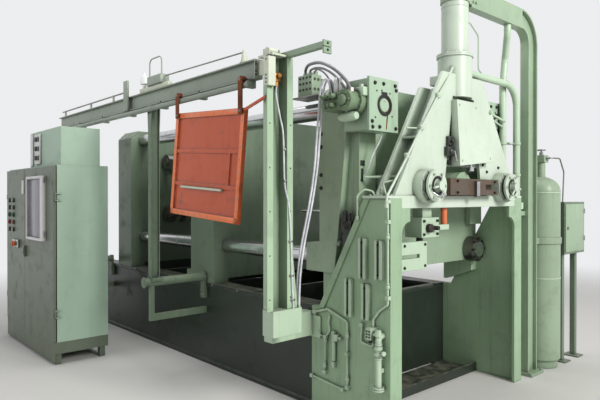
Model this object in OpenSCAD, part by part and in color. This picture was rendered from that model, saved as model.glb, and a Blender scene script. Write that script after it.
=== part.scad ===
// Die casting machine with a cold chamber shot end, standing on a level floor.
// X runs along the machine towards the shot end, Y towards the rear, Z up.
// The origin is on the floor, on the centreline, under the die face of the fixed platen.

/* [Bed] */
// Length of the side beams behind the shot end
bed_len = 4630; // [4500:10:4760]
// Height of the top of the side beams
bed_h = 800; // [760:10:820]
// Half of the width over both side beams
bed_half = 915; // [900:5:920]
// Width of a beam's flanges
beam_flange_w = 180; // [140:5:220]
// Thickness of a beam's top and bottom flange
beam_flange_t = 30; // [20:1:40]
// Thickness of a beam's web
beam_web_t = 25; // [16:1:35]
// How far a beam's flanges stand out past its web
beam_lip = 15; // [5:1:25]
// Thickness of the cross members between the beams
cross_t = 40; // [25:1:60]

/* [Platens and tie bars] */
// Thickness of the fixed platen
platen_t = 300; // [240:5:320]
// Half of the width of the platens
platen_half = 910; // [880:5:920]
// Bottom of the fixed platen
platen_foot = 1070; // [1060:5:1090]
// Top of the platens
platen_top = 2500; // [2480:5:2560]
// Height of the machine's axis
axis_z = 1760; // [1750:5:1780]
// Distance of the tie bars from the axis, sideways
tie_y = 740; // [720:5:745]
// Distance of the tie bars from the axis, up and down
tie_z = 590; // [570:5:600]
// Diameter of a tie bar
tie_d = 140; // [120:2:150]
// Radial clearance of a tie bar in its platens and nuts
tie_gap = 0.3; // [0.2:0.1:0.6]
// Outer diameter of a tie bar nut
nut_d = 230; // [200:5:240]
// Thickness of a tie bar nut
nut_t = 90; // [70:5:110]
// Opening between the platens at rest
die_gap = 1500; // [1400:10:1600]
// Thickness of the moving platen
moving_t = 420; // [360:10:480]
// Thickness of the end platen
end_t = 360; // [300:10:400]
// Distance from the moving platen to the end platen
toggle_gap = 1400; // [1350:10:1500]
// Diameter of a toggle pin
toggle_pin_d = 110; // [90:2:130]
// Thickness of a toggle link
link_t = 90; // [70:5:100]

/* [Shot end walls] */
// X of the walls' outer edge at the shot end
wall_end = 715; // [700:5:740]
// Half of the width over both walls
wall_half = 925; // [922:1:930]
// Thickness of a wall
wall_t = 60; // [50:1:60]
// Height of a wall
wall_h = 1640; // [1600:5:1680]
// X where the slanted edge meets the top
wall_top_x = 480; // [460:5:500]
// X where the slanted edge starts at the bed's height
wall_low_x = 20; // [10:5:25]
// Width of the flange along a wall's end edge
end_flange_w = 125; // [110:5:140]
// Thickness of that flange
end_flange_t = 25; // [16:1:30]
// Thickness of the top plate across both walls
top_plate_t = 20; // [12:1:30]
// How far the top plate stands out past the front wall
top_over = 25; // [15:1:30]
// Depth of the portal beam under the top plate
portal_h = 70; // [50:5:100]

/* [Tower] */
// How far the tower's face lies behind the walls' ends
face_back = 15; // [10:1:20]
// Half width over the legs at their foot
leg_foot_half = 860; // [840:5:864]
// Top of the tower's legs
leg_top = 2610; // [2570:5:2660]
// Half width over the legs at their top
leg_top_half = 280; // [270:5:300]
// Half width of the tower's opening near its foot
open_low_half = 260; // [250:5:280]
// Half width of the tower's opening at its head
open_high_half = 150; // [145:5:165]
// Height of the tower's opening above the floor
open_high_z = 2435; // [2420:5:2480]
// Depth of a leg along X
leg_depth = 180; // [150:5:200]
// Thickness of a leg's face plate
face_t = 25; // [16:1:30]
// Distance from a leg's outer edge to its web
web_in = 120; // [90:5:140]
// Height of the stiffener in a leg
stiffener_z = 2100; // [2000:10:2200]

/* [Accumulator] */
// Outer diameter of the socket on the tower's head
socket_d = 270; // [250:2:290]
// Top of the socket
socket_top = 2760; // [2720:5:2800]
// Diameter of the bolted flange ring
ring_d = 288; // [280:2:310]
// Thickness of the bolted flange ring
ring_t = 14; // [12:1:24]
// Diameter of the accumulator's tube
tube_d = 212; // [200:2:230]
// How far the accumulator stands up past the gooseneck's arm
tube_over = 345; // [200:5:450]
// X of the accumulator's axis
column_x = 620; // [610:1:630]

/* [Shot unit] */
// Height of the axis of the injection cylinders
shot_z = 1728; // [1725:1:1740]
// Diameter of the shot cylinder
shot_d = 240; // [220:2:244]
// Distance of the side cylinders from the centreline
side_y = 540; // [520:5:560]
// Height of the axis of the side cylinders
side_z = 1730; // [1720:1:1740]
// Diameter of a side cylinder
side_d = 190; // [170:2:200]
// Diameter of a side cylinder's head flange
head_d = 250; // [230:2:260]
// Height of the crosshead block
crosshead_h = 125; // [110:5:130]
// Depth of the crosshead block along X
crosshead_x = 100; // [90:5:120]
// Radial clearance round the cylinders in the steelwork
cyl_gap = 0.3; // [0.2:0.1:1]

/* [Gooseneck] */
// Width of the gooseneck's section
neck_w = 175; // [150:5:190]
// Depth of the gooseneck's section along X
neck_d = 80; // [60:5:100]
// Thickness of its flanges and web
neck_t = 14; // [10:1:18]
// Y of the post's inner flange
neck_y = 1080; // [1070:5:1100]
// Bottom of the arm
arm_z = 3180; // [3100:10:3250]
// Inner radius of the bend
neck_bend = 120; // [80:5:160]

/* [Gas bottle] */
// Diameter of the bottle
bottle_d = 350; // [320:5:370]
// Height of the bottle's shoulder
bottle_h = 1700; // [1600:10:1760]
// Y of the bottle's axis
bottle_y = 1520; // [1500:5:1540]
// X of the bottle's axis
bottle_x = 620; // [600:5:640]

/* [Guard rail] */
// Y of the rail beam's centre
rail_y = -1465; // [-1475:1:-1455]
// Bottom of the rail beam
rail_z = 2500; // [2490:2:2520]
// Height of the rail beam
rail_h = 140; // [120:2:160]
// Width of the rail beam's flanges
rail_w = 70; // [60:2:80]
// Length of the rail beam
rail_len = 4050; // [3900:10:4060]
// X of the rail beam's end near the guard post
rail_end = -50; // [-60:1:-40]
// Diameter of the door's track tube
track_d = 45; // [40:1:48]
// Distance of the track tube's axis under the rail beam
track_drop = 45; // [40:1:50]
// Y of the track tube's axis
track_y = -1540; // [-1545:1:-1538]
// X of the back of the guard post
post_x = 90; // [80:1:110]
// Depth of the guard post
post_d = 100; // [80:2:120]
// Width of the guard post over its lips
post_w = 230; // [210:2:250]
// Width of one lip of the guard post
post_lip = 45; // [35:1:50]
// Thickness of the guard post's sheet
post_t = 8; // [6:1:10]
// Top of the guard post
post_top = 2620; // [2600:5:2640]
// Bottom of the guard post
post_low = 690; // [680:5:720]

/* [Guard door] */
// Width of the guard door
door_w = 975; // [940:5:1000]
// Height of the guard door
door_h = 840; // [800:5:850]
// Thickness of the guard door's frame
door_t = 30; // [26:1:34]
// Width of the door frame's bars
door_bar = 45; // [35:1:60]
// Angle at which the door hangs askew
door_tilt = 3.8; // [0:0.1:4.5]
// Angle by which the door's foot stands out towards the aisle
door_lean = 2.2; // [0:0.1:2.5]
// X of the door's lower right corner
door_x = -150; // [-170:1:-140]
// Height of the door's lower right corner
door_z = 1450; // [1440:5:1460]

/* [Control cabinet] */
// Length of the cabinet along X
cab_len = 1640; // [1600:10:1660]
// Depth of the cabinet
cab_depth = 545; // [500:5:560]
// Height of the cabinet
cab_h = 1970; // [1900:10:2040]
// X of the cabinet's end near the guard door
cab_x = -2530; // [-2560:5:-2525]
// Y of the cabinet's back
cab_y = -1535; // [-1545:1:-1533]
// Thickness of the cabinet's walls
cab_t = 12; // [8:1:16]
// Height of the plinth
plinth_h = 220; // [180:5:240]
// Thickness of a cabinet door
leaf_t = 24; // [18:1:30]
// Width of the right cabinet door
leaf_right_w = 946; // [920:2:960]
// Gap round the cabinet doors
leaf_gap = 8; // [6:1:10]
// Diameter of a hinge pin
hinge_pin_d = 12; // [10:1:14]
// Radial clearance of a hinge knuckle on its pin
hinge_gap = 0.3; // [0.2:0.1:0.5]
// Length of the box on top of the cabinet
top_box_len = 955; // [900:5:1000]
// Height of the box on top of the cabinet
top_box_h = 380; // [340:5:400]

/* [Hidden] */

$fn = 64;
bed_x = wall_low_x - 90;
bed_end = bed_x - bed_len;
beam_web_y = bed_half - beam_lip;
moving_x = -die_gap;
end_x = moving_x - moving_t - toggle_gap;
platen_low = bed_h + 40;
wall_in = wall_half - wall_t;
top_z = wall_h + top_plate_t;
tower_x = wall_end - face_back;
leg_x = tower_x - leg_depth;
leg_slope = (leg_foot_half - leg_top_half) / (leg_top - top_z);
open_low_z = 1750;
side_bore_d = side_d + 2 * cyl_gap;
post_front = post_x + post_d;
post_y = rail_y;
foot_top = post_low + 180;
head_low = 2395;
tray_t = 20;
cab_front = cab_y - cab_depth;
leaf_x = cab_x - leaf_right_w;
leaf_low = plinth_h;
leaf_high = cab_h - 15;
leaf_y = cab_front + leaf_t;
hinge_off = 14;
rail_top = rail_z + rail_h;
hose_r = 8;
neck_x = column_x + 45;
tube_top = arm_z + neck_w + tube_over;
track_z = rail_z - track_drop;
pressure_d = 60;
back_pipe = [585, 828];
// toggle
lug_reach = 110;
lug_t = 60;
link_half = 300;
pin_high = 330;
knee_x = end_x + 640;
knee_z = 150;
// wall channels and pipes
channel_w = 66;
channel_d = 34;
channel_t = 8;
small_d = 16;
// tie bar end housings
puller_low = 2130;
puller_high = 2490;
puller_in = 645;
puller_out = 945;
puller_x = 550;
// supports of the rail and hinges of the cabinet
support_x = [-1650, -3850];
support_foot = bed_h + 100;
support_half = 45;
hinge_levels = [500, 1650];

function leg_edge(z) = leg_foot_half - (z - top_z) * leg_slope;
function open_edge(z) = open_low_half
    - (z - open_low_z) * (open_low_half - open_high_half) / (open_high_z - open_low_z);

// A box between two corners
module block(x, y, z) {
    translate([x[0], y[0], z[0]])
        cube([x[1] - x[0], y[1] - y[0], z[1] - z[0]]);
}

// The same shape on both sides of the centreline
module both_sides() {
    children();
    mirror([0, 1, 0]) children();
}

// A round bar or disc along X from x[0] to x[1]
module bar_x(x, y, z, d) {
    translate([x[0], y, z]) rotate([0, 90, 0]) cylinder(d = d, h = x[1] - x[0]);
}

// A round bar or disc along Y from y[0] to y[1]
module bar_y(x, y, z, d) {
    translate([x, y[0], z]) rotate([-90, 0, 0]) cylinder(d = d, h = y[1] - y[0]);
}

// A round bar or disc along Z from z[0] to z[1]
module bar_z(x, y, z, d) {
    translate([x, y, z[0]]) cylinder(d = d, h = z[1] - z[0]);
}

// A plate in the XZ plane, from y[0] to y[1]
module plate_xz(points, y) {
    translate([0, y[1], 0]) rotate([90, 0, 0])
        linear_extrude(y[1] - y[0]) polygon(points);
}

// A plate in the YZ plane, from x[0] to x[1]
module plate_yz(points, x) {
    translate([x[0], 0, 0]) rotate([90, 0, 90])
        linear_extrude(x[1] - x[0]) polygon(points);
}

function unit(v) = v / norm(v);
function setback(d0, d1, bend) = bend * tan(acos(d0 * d1) / 2);

// One straight length of a pipe
module pipe_straight(p, q, d) {
    run = q - p;
    dir = unit(run);
    translate(p) rotate([0, acos(dir[2]), atan2(dir[1], dir[0])])
        cylinder(d = d, h = norm(run), $fn = 24);
}

// A round elbow at a corner between two directions
module pipe_elbow(corner, d0, d1, d, bend) {
    side = unit(d1 - d0 * (d0 * d1));
    centre = corner - d0 * setback(d0, d1, bend) + side * bend;
    up = cross(-side, d0);
    multmatrix([[-side[0], d0[0], up[0], centre[0]],
                [-side[1], d0[1], up[1], centre[1]],
                [-side[2], d0[2], up[2], centre[2]],
                [0, 0, 0, 1]])
        rotate_extrude(angle = acos(d0 * d1), $fn = 32)
            translate([bend, 0]) circle(d = d, $fn = 24);
}

// A weld bead where a straight length meets an elbow
module pipe_bead(p, dir, d) {
    half = 3;
    pipe_straight(p - dir * half, p + dir * half, d + 2);
}

// A bent pipe through a list of corners
module pipe(points, d, bend) {
    last = len(points) - 1;
    dirs = [for (i = [0:last - 1]) unit(points[i + 1] - points[i])];
    for (i = [0:last - 1]) {
        lead = i == 0 ? 0 : setback(dirs[i - 1], dirs[i], bend);
        tail = i == last - 1 ? 0 : setback(dirs[i], dirs[i + 1], bend);
        pipe_straight(points[i] + dirs[i] * lead, points[i + 1] - dirs[i] * tail, d);
    }
    for (i = [1:last - 1]) {
        reach = setback(dirs[i - 1], dirs[i], bend);
        pipe_elbow(points[i], dirs[i - 1], dirs[i], d, bend);
        pipe_bead(points[i] - dirs[i - 1] * reach, dirs[i - 1], d);
        pipe_bead(points[i] + dirs[i] * reach, dirs[i], d);
    }
}

// A flexible hose swept along its route, eight sides round
module hose(route, r) {
    sides = 8;
    n = len(route);
    rings = [for (i = [0:n - 1])
        let (ahead = route[min(i + 1, n - 1)] - route[max(i - 1, 0)],
             t = unit(ahead),
             u = unit(cross(t, [0, 1, 0.01])),
             v = cross(t, u))
        [for (k = [0:sides - 1]) route[i] + r * (cos(k * 360 / sides) * u
                                                 + sin(k * 360 / sides) * v)]];
    points = [for (ring = rings) for (p = ring) p];
    walls = [for (i = [0:n - 2]) for (k = [0:sides - 1])
        [i * sides + k, (i + 1) * sides + k, (i + 1) * sides + (k + 1) % sides,
         i * sides + (k + 1) % sides]];
    caps = [[for (k = [0:sides - 1]) k], [for (k = [sides - 1:-1:0]) (n - 1) * sides + k]];
    polyhedron(points, concat(walls, caps));
}

// Bed

// A side beam: web, flanges that stand out past it, and stiffeners on its inner side
module bed_beam() {
    inner = bed_half - beam_flange_w;
    block([bed_end, bed_x], [inner, bed_half], [0, beam_flange_t]);
    block([bed_end, bed_x], [inner, bed_half], [bed_h - beam_flange_t, bed_h]);
    block([bed_end, bed_x], [beam_web_y - beam_web_t, beam_web_y], [0, bed_h]);
    bays = 7;
    for (i = [1:bays - 1])
        block([bed_end + i * bed_len / bays, bed_end + i * bed_len / bays + 20],
              [inner + 20, beam_web_y - 1], [beam_flange_t - 1, bed_h - beam_flange_t + 1]);
}

module bed_front_beam() {
    color("seagreen") mirror([0, 1, 0]) bed_beam();
}

module bed_rear_beam() {
    color("seagreen") bed_beam();
}

// Cross members between the beams, the end panel with its curled lip and the drip tray
module bed_cross_members() {
    reach = beam_web_y - beam_web_t;
    low = beam_flange_t;
    high = bed_h - beam_flange_t;
    lip_r = 40;
    bay = bed_len / 7;
    color("seagreen") {
        for (i = [0, 2, 4, 5])
            block([bed_end + (i + 0.5) * bay, bed_end + (i + 0.5) * bay + cross_t],
                  [-reach, reach], [low, high]);
        block([bed_x - cross_t, bed_x], [-reach, reach], [low, high]);
        bar_y(bed_x - lip_r, [beam_flange_w - bed_half, bed_half - beam_flange_w], bed_h - lip_r,
              2 * lip_r);
        // drip tray between the side walls, with a turned-up end
        block([bed_x, platen_t], [-wall_in, wall_in], [0, tray_t]);
        block([platen_t - tray_t, platen_t], [-wall_in, wall_in], [0, 4 * tray_t]);
    }
}

// Brackets on the side walls that the fixed platen stands on
module platen_seat() {
    deep = 210;
    plate_xz([[0, platen_foot - deep], [30, platen_foot - deep], [platen_t, platen_foot - deep / 2],
              [platen_t, platen_foot], [0, platen_foot]], [wall_in - 90, wall_in + 1]);
}

// Platens and tie bars

// Every tie bar's place
module at_tie_bars() {
    for (y = [-tie_y, tie_y]) for (z = [axis_z - tie_z, axis_z + tie_z])
        translate([0, y, z]) children();
}

module tie_bores(x) {
    at_tie_bars() bar_x(x, 0, 0, tie_d + 2 * tie_gap);
}

// Outline of a platen in the YZ plane with chamfered corners
function platen_outline(low, high) = let (c = 90) [
    [-platen_half, low], [platen_half, low], [platen_half, high - c], [platen_half - c, high],
    [-platen_half + c, high], [-platen_half, high - c]];

module fixed_platen() {
    column_w = 185;
    boss_reach = 150;
    boss_h = 220;
    color("mediumseagreen") difference() {
        union() {
            plate_yz(platen_outline(platen_foot, platen_top), [0, platen_t]);
            both_sides() {
                // raised column behind the tie bars, towards the shot end
                block([platen_t - 1, platen_t + 60], [wall_in - 15 - column_w, wall_in - 15],
                      [1400, puller_low]);
                // boss round the lower tie bar, towards the die
                block([-boss_reach, 1], [tie_y - boss_h / 2, platen_half],
                      [platen_foot, platen_foot + boss_h]);
            }
        }
        tie_bores([-boss_reach - 1, platen_t + 100]);
        // side faces cut back where the walls' slanted edges pass
        both_sides()
            plate_xz([[160, platen_foot - 1], [220, 1550], [290, 2200], [platen_t + 61, 2200],
                      [platen_t + 61, platen_foot - 1]], [wall_in - 10, platen_half + 1]);
    }
}

module moving_platen() {
    color("mediumseagreen") difference() {
        union() {
            plate_yz(platen_outline(platen_low, platen_top - 40), [moving_x - moving_t, moving_x]);
            both_sides()
                block([moving_x - moving_t - 80, moving_x], [bed_half - beam_flange_w, platen_half],
                      [bed_h, platen_low + 60]);
            toggle_lugs(moving_x - moving_t, -1);
        }
        tie_bores([moving_x - moving_t - 200, moving_x + 1]);
        toggle_pin_holes(moving_x - moving_t - lug_reach);
    }
}

// Toggle lugs stand on a platen and carry the toggle pins
module toggle_lugs(x, side) {
    for (y = [-link_half, link_half]) for (z = [axis_z - pin_high, axis_z + pin_high])
        for (s = [-1, 1]) {
            low = y + s * (link_t / 2 + 1);
            block(side < 0 ? [x - lug_reach, x + 1] : [x - 1, x + lug_reach],
                  s > 0 ? [low, low + lug_t] : [low - lug_t, low], [z - 100, z + 100]);
            bar_y(x + side * lug_reach, s > 0 ? [low, low + lug_t] : [low - lug_t, low], z, 200);
        }
}

module toggle_pin_holes(x) {
    for (z = [axis_z - pin_high, axis_z + pin_high])
        bar_y(x, [-platen_half, platen_half], z, toggle_pin_d + 2 * tie_gap);
}

module end_platen() {
    color("mediumseagreen") difference() {
        union() {
            plate_yz(platen_outline(platen_low, platen_top - 40), [end_x - end_t, end_x]);
            both_sides()
                block([end_x - end_t, end_x], [bed_half - beam_flange_w, platen_half],
                      [bed_h, platen_low + 60]);
            toggle_lugs(end_x, 1);
        }
        tie_bores([end_x - end_t - 1, end_x + 200]);
        toggle_pin_holes(end_x + lug_reach);
        bar_x([end_x - end_t - 1, end_x + 1], 0, axis_z, 160 + 2 * cyl_gap);
    }
}

module tie_bars() {
    color("silver") at_tie_bars() {
        bar_x([end_x - end_t - nut_t - 40, platen_t + nut_t + 20], 0, 0, tie_d);
    }
}

// A ring nut round a tie bar
module tie_nut(x) {
    difference() {
        bar_x([x, x + nut_t], 0, 0, nut_d);
        bar_x([x - 1, x + nut_t + 1], 0, 0, tie_d + 2 * tie_gap);
    }
}

module tie_bar_nuts() {
    color("dimgray") {
        at_tie_bars() tie_nut(end_x - end_t - nut_t);
        for (y = [-tie_y, tie_y]) translate([0, y, axis_z - tie_z]) tie_nut(platen_t);
    }
}

// Toggle: long links to the moving platen, short links to the end platen, on common pins
module link(a, b, y) {
    dir = [b[0] - a[0], b[1] - a[1]];
    translate([0, y + link_t / 2, 0]) rotate([90, 0, 0]) linear_extrude(link_t)
        difference() {
            union() {
                translate(a) circle(d = 180);
                translate(b) circle(d = 180);
                translate(a) rotate(atan2(dir[1], dir[0])) translate([0, -60])
                    square([norm(dir), 120]);
            }
            translate(a) circle(d = toggle_pin_d + 2 * tie_gap);
            translate(b) circle(d = toggle_pin_d + 2 * tie_gap);
        }
}

module toggle_links() {
    front_pin = moving_x - moving_t - lug_reach;
    back_pin = end_x + lug_reach;
    color("slategray") for (y = [-link_half, link_half]) for (s = [-1, 1]) {
        knee = [knee_x, axis_z + s * (pin_high - knee_z)];
        link([front_pin, axis_z + s * pin_high], knee, y);
        for (o = [-1, 1])
            link([back_pin, axis_z + s * pin_high], knee, y + o * (link_t + 62));
    }
}

// Toggle pins and the yoke that drives the knees, guided on the closing cylinder's rod
module toggle_crosshead() {
    color("gray") {
        for (s = [-1, 1]) {
            z = axis_z + s * pin_high;
            for (y = [-link_half, link_half]) {
                bar_y(moving_x - moving_t - lug_reach, [y - 110, y + 110], z, toggle_pin_d);
                bar_y(end_x + lug_reach, [y - 210, y + 210], z, toggle_pin_d);
            }
            bar_y(knee_x, [-link_half - 210, link_half + 210], axis_z + s * (pin_high - knee_z),
                  toggle_pin_d);
        }
        block([knee_x - 45, knee_x + 45], [-90, 90],
              [axis_z - pin_high + knee_z - 90, axis_z + pin_high - knee_z + 90]);
        bar_x([end_x - end_t - 40, knee_x], 0, axis_z, 100);
    }
}

// Closing cylinder on the back of the end platen
module closing_cylinder() {
    color("mediumseagreen") difference() {
        union() {
            bar_x([end_x - end_t - 900, end_x - end_t], 0, axis_z, 300);
            bar_x([end_x - end_t - 40, end_x - end_t], 0, axis_z, 420);
            bar_x([end_x - end_t - 940, end_x - end_t - 890], 0, axis_z, 360);
        }
        bar_x([end_x - end_t - 800, end_x - end_t + 1], 0, axis_z, 100 + 2 * cyl_gap);
    }
}

// Shot end

// A side wall with its slanted edge, edge strip, end flange and corner gusset
module side_wall() {
    slant = [[bed_x, 0], [wall_end, 0], [wall_end, wall_h], [wall_top_x, wall_h],
             [wall_low_x, bed_h], [bed_x, bed_h]];
    strip = 12;
    strip_w = 55;
    gusset = 95;
    plate_xz(slant, [wall_in, wall_half]);
    platen_seat();
    plate_xz([[wall_low_x, bed_h], [wall_top_x, wall_h], [wall_top_x + strip_w, wall_h],
              [wall_low_x + strip_w, bed_h]], [wall_half - 1, wall_half + strip]);
    block([wall_end - end_flange_t, wall_end], [wall_half - end_flange_w, wall_half], [0, wall_h]);
    difference() {
        block([wall_end - end_flange_t, wall_end],
              [wall_half - end_flange_w - gusset, wall_half - end_flange_w + 1],
              [wall_h - portal_h - 2 * gusset, wall_h - portal_h]);
        bar_x([wall_end - end_flange_t - 1, wall_end + 1], wall_half - end_flange_w - gusset,
              wall_h - portal_h - 2 * gusset, 2 * gusset);
    }
}

module side_wall_front() {
    color("mediumseagreen") mirror([0, 1, 0]) side_wall();
}

module side_wall_rear() {
    color("mediumseagreen") side_wall();
}

// Short upright channels on the front wall, with a slot between their lips
module wall_channel(x, z) {
    y = -wall_half - channel_d;
    slot_w = 22;
    difference() {
        block([x, x + channel_w], [y, -wall_half], z);
        block([x + channel_t, x + channel_w - channel_t], [y + channel_t, -wall_half - channel_t],
              [z[0] - 1, z[1] + 1]);
        block([x + (channel_w - slot_w) / 2, x + (channel_w + slot_w) / 2], [y - 1, y + channel_t + 1],
              [z[0] - 1, z[1] + 1]);
    }
}

module wall_channels() {
    color("mediumseagreen") {
        wall_channel(446, [1068, 1357]);
        wall_channel(596, [1078, 1349]);
        wall_channel(309, [781, 1053]);
        wall_channel(474, [780, 1035]);
    }
}

// Portal beam and top plate that join the walls and carry the tower
module portal_beam() {
    color("mediumseagreen") difference() {
        union() {
            block([leg_x, wall_end], [end_flange_w - wall_half, wall_half - end_flange_w],
                  [wall_h - portal_h, wall_h]);
            both_sides() block([leg_x, wall_end - end_flange_t],
                               [wall_half - end_flange_w - 1, wall_in],
                               [wall_h - portal_h, wall_h]);
            block([wall_top_x, wall_end], [-wall_half - top_over, wall_half], [wall_h, top_z]);
        }
        both_sides() {
            bar_x([leg_x - 100, wall_end + 1], side_y, side_z, side_bore_d);
            bar_x([tower_x, wall_end + 1], side_y, side_z, head_d + 2 * cyl_gap);
        }
        bar_x([leg_x - 100, tower_x + cyl_gap], 0, shot_z, shot_d + 2 * cyl_gap);
    }
}

// A tower leg: face plate, far flange, slanted web and stiffener
module tower_leg() {
    web_t = 20;
    far_top = 2500;
    foot_out = leg_edge(top_z);
    foot_in = open_edge(open_low_z);
    throat = socket_d / 2 - 35;
    difference() {
        union() {
            plate_yz([[foot_in, top_z], [foot_out, top_z], [leg_top_half, leg_top],
                      [throat, leg_top], [throat, open_high_z], [open_high_half, open_high_z],
                      [foot_in, open_low_z]], [tower_x - face_t, tower_x]);
            plate_yz([[foot_in + 60, top_z], [foot_out, top_z], [leg_edge(far_top), far_top],
                      [open_edge(far_top) + 20, far_top], [foot_in + 60, open_low_z]],
                     [leg_x, leg_x + face_t]);
            plate_yz([[foot_out - web_in - web_t, top_z], [foot_out - web_in, top_z],
                      [leg_edge(far_top) - web_in, far_top],
                      [leg_edge(far_top) - web_in - web_t, far_top]],
                     [leg_x + 1, tower_x - 1]);
            block([leg_x + 1, tower_x - 1],
                  [leg_edge(stiffener_z) - web_in - 5, leg_edge(stiffener_z) - 10],
                  [stiffener_z - 15, stiffener_z]);
        }
        bar_x([leg_x - 1, tower_x + 1], side_y, side_z, side_bore_d);
        bar_z(column_x, 0, [open_high_z - 1, leg_top + 1], socket_d + 2 * cyl_gap);
    }
}

module tower_leg_front() {
    color("palegreen") mirror([0, 1, 0]) tower_leg();
}

module tower_leg_rear() {
    color("palegreen") tower_leg();
}

// Head of the tower: the socket and the ears that tie it to both legs
module tower_head() {
    ear_low = 2520;
    color("palegreen") {
        difference() {
            bar_z(column_x, 0, [open_high_z, socket_top], socket_d);
            // seat of the pressure pipe
            translate([back_pipe[0] + pressure_d + 4, socket_d / 2 - 20, socket_top - 100])
                rotate([-90, 0, 0]) cylinder(d = pressure_d, h = 40, $fn = 24);
        }
        bar_z(column_x, 0, [socket_top, socket_top + ring_t], ring_d);
        block([leg_x + face_t + 5, tower_x - face_t],
              [-leg_top_half + 40, leg_top_half - 40], [ear_low, leg_top - 20]);
    }
}

module accumulator_tube() {
    foot = socket_top + ring_t;
    seam = 3160;
    crown = 70;
    color("palegreen") {
        bar_z(column_x, 0, [foot, foot + ring_t], ring_d);
        bar_z(column_x, 0, [foot, tube_top - crown], tube_d);
        bar_z(column_x, 0, [seam, seam + 14], tube_d + 4);
        translate([column_x, 0, tube_top - crown]) rotate_extrude()
            intersection() {
                translate([0, crown - tube_d]) circle(d = 2 * tube_d);
                square([tube_d / 2, crown]);
            }
        bar_z(column_x, 0, [tube_top - 10, tube_top + 60], 60);
    }
}

// Shot unit

// Bare steel crosshead block with its key bar and slotted end
module crosshead_block() {
    reach = [-333, 357];
    slot_y = 165;
    slot_half = 22;
    slot_deep = 60;
    low = shot_z - crosshead_h / 2;
    front = tower_x + crosshead_x;
    color("rosybrown") difference() {
        union() {
            block([tower_x, front], reach, [low, low + crosshead_h]);
            // key bar on the front
            block([front - 1, front + 22], [-4, 42], [low - 14, low + crosshead_h - 16]);
        }
        block([front - slot_deep, front + 1], [slot_y, reach[1] + 1],
              [shot_z - slot_half, shot_z + slot_half]);
    }
}

// A side cylinder: barrel, head flange, front disc, boss and star handle
module side_cylinder() {
    head_x = tower_x + 80;
    disc_x = head_x + 50;
    boss_x = disc_x + 40;
    color("palegreen") {
        bar_x([platen_t, tower_x], side_y, side_z, side_d);
        bar_x([tower_x, head_x], side_y, side_z, head_d);
        bar_x([head_x, disc_x], side_y, side_z, head_d - 50);
        bar_x([disc_x - 18, disc_x], side_y, side_z, head_d - 20);
        bar_x([disc_x, boss_x], side_y, side_z, 70);
        for (a = [20, 140, 260]) translate([boss_x - 12, side_y, side_z]) rotate([a, 0, 0])
            bar_z(0, 0, [0, 85], 18);
    }
}

module side_cylinder_front() {
    mirror([0, 1, 0]) side_cylinder();
}

module side_cylinder_rear() {
    side_cylinder();
}

module shot_cylinder() {
    color("seagreen") {
        bar_x([platen_t, tower_x], 0, shot_z, shot_d);
        bar_x([platen_t, platen_t + 50], 0, shot_z, shot_d + 90);
    }
}

// Valve cover on the tower's face, deeper at its foot, with its plate behind the opening
module valve_cover() {
    low = 1888;
    high = 2400;
    left = -170;
    right_low = 340;
    right_high = 130;
    rise = 52;
    deep_low = 80;
    deep_high = 50;
    back = tower_x - face_t;
    seat = tower_x + cyl_gap;
    color("palegreen") {
        plate_yz([[-open_edge(low) - 30, low], [open_edge(low) + 30, low],
                  [open_edge(high) + 30, high + 20], [-open_edge(high) - 30, high + 20]],
                 [back - 20, back]);
        block([back - 1, seat + 1], [left + 30, right_high - 10], [low + 40, high - 20]);
        intersection() {
            plate_yz([[left, low], [right_low, low + rise], [right_high, high], [left, high]],
                     [seat, tower_x + deep_low + 1]);
            plate_xz([[seat, low - 1], [tower_x + deep_low, low - 1], [tower_x + deep_high, high + 1],
                      [seat, high + 1]], [left - 1, right_low + 1]);
        }
    }
}

// Valve block, riser pipe and slotted bracket under the portal beam
module shot_valves() {
    under = wall_h - portal_h;
    flange_y = end_flange_w - wall_half;
    bracket_x = wall_end - end_flange_t;
    box_y = [-549, -336];
    pipe_y = -210;
    color("mediumseagreen") {
        block([bracket_x - 110, bracket_x - 20], [box_y[0] + 50, box_y[1] - 50], [1490, under]);
        block([bracket_x - 140, bracket_x + 10], box_y, [1351, 1497]);
        difference() {
            block([bracket_x, wall_end], [flange_y, -507], [1125, 1330]);
            block([bracket_x - 1, wall_end + 1], [flange_y - 1, -594], [1212, 1240]);
        }
    }
    color("darkorange") {
        bar_z(bracket_x - 30, pipe_y, [1420, under], 45);
        block([bracket_x - 60, bracket_x], [box_y[1] - 1, pipe_y + 25], [1400, 1440]);
    }
}

// Gooseneck

module neck_section() {
    difference() {
        translate([-neck_d / 2, 0]) square([neck_d, neck_w]);
        translate([neck_t / 2, neck_t]) square([neck_d, neck_w - 2 * neck_t]);
        translate([-neck_t / 2 - neck_d, neck_t]) square([neck_d, neck_w - 2 * neck_t]);
    }
}

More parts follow.
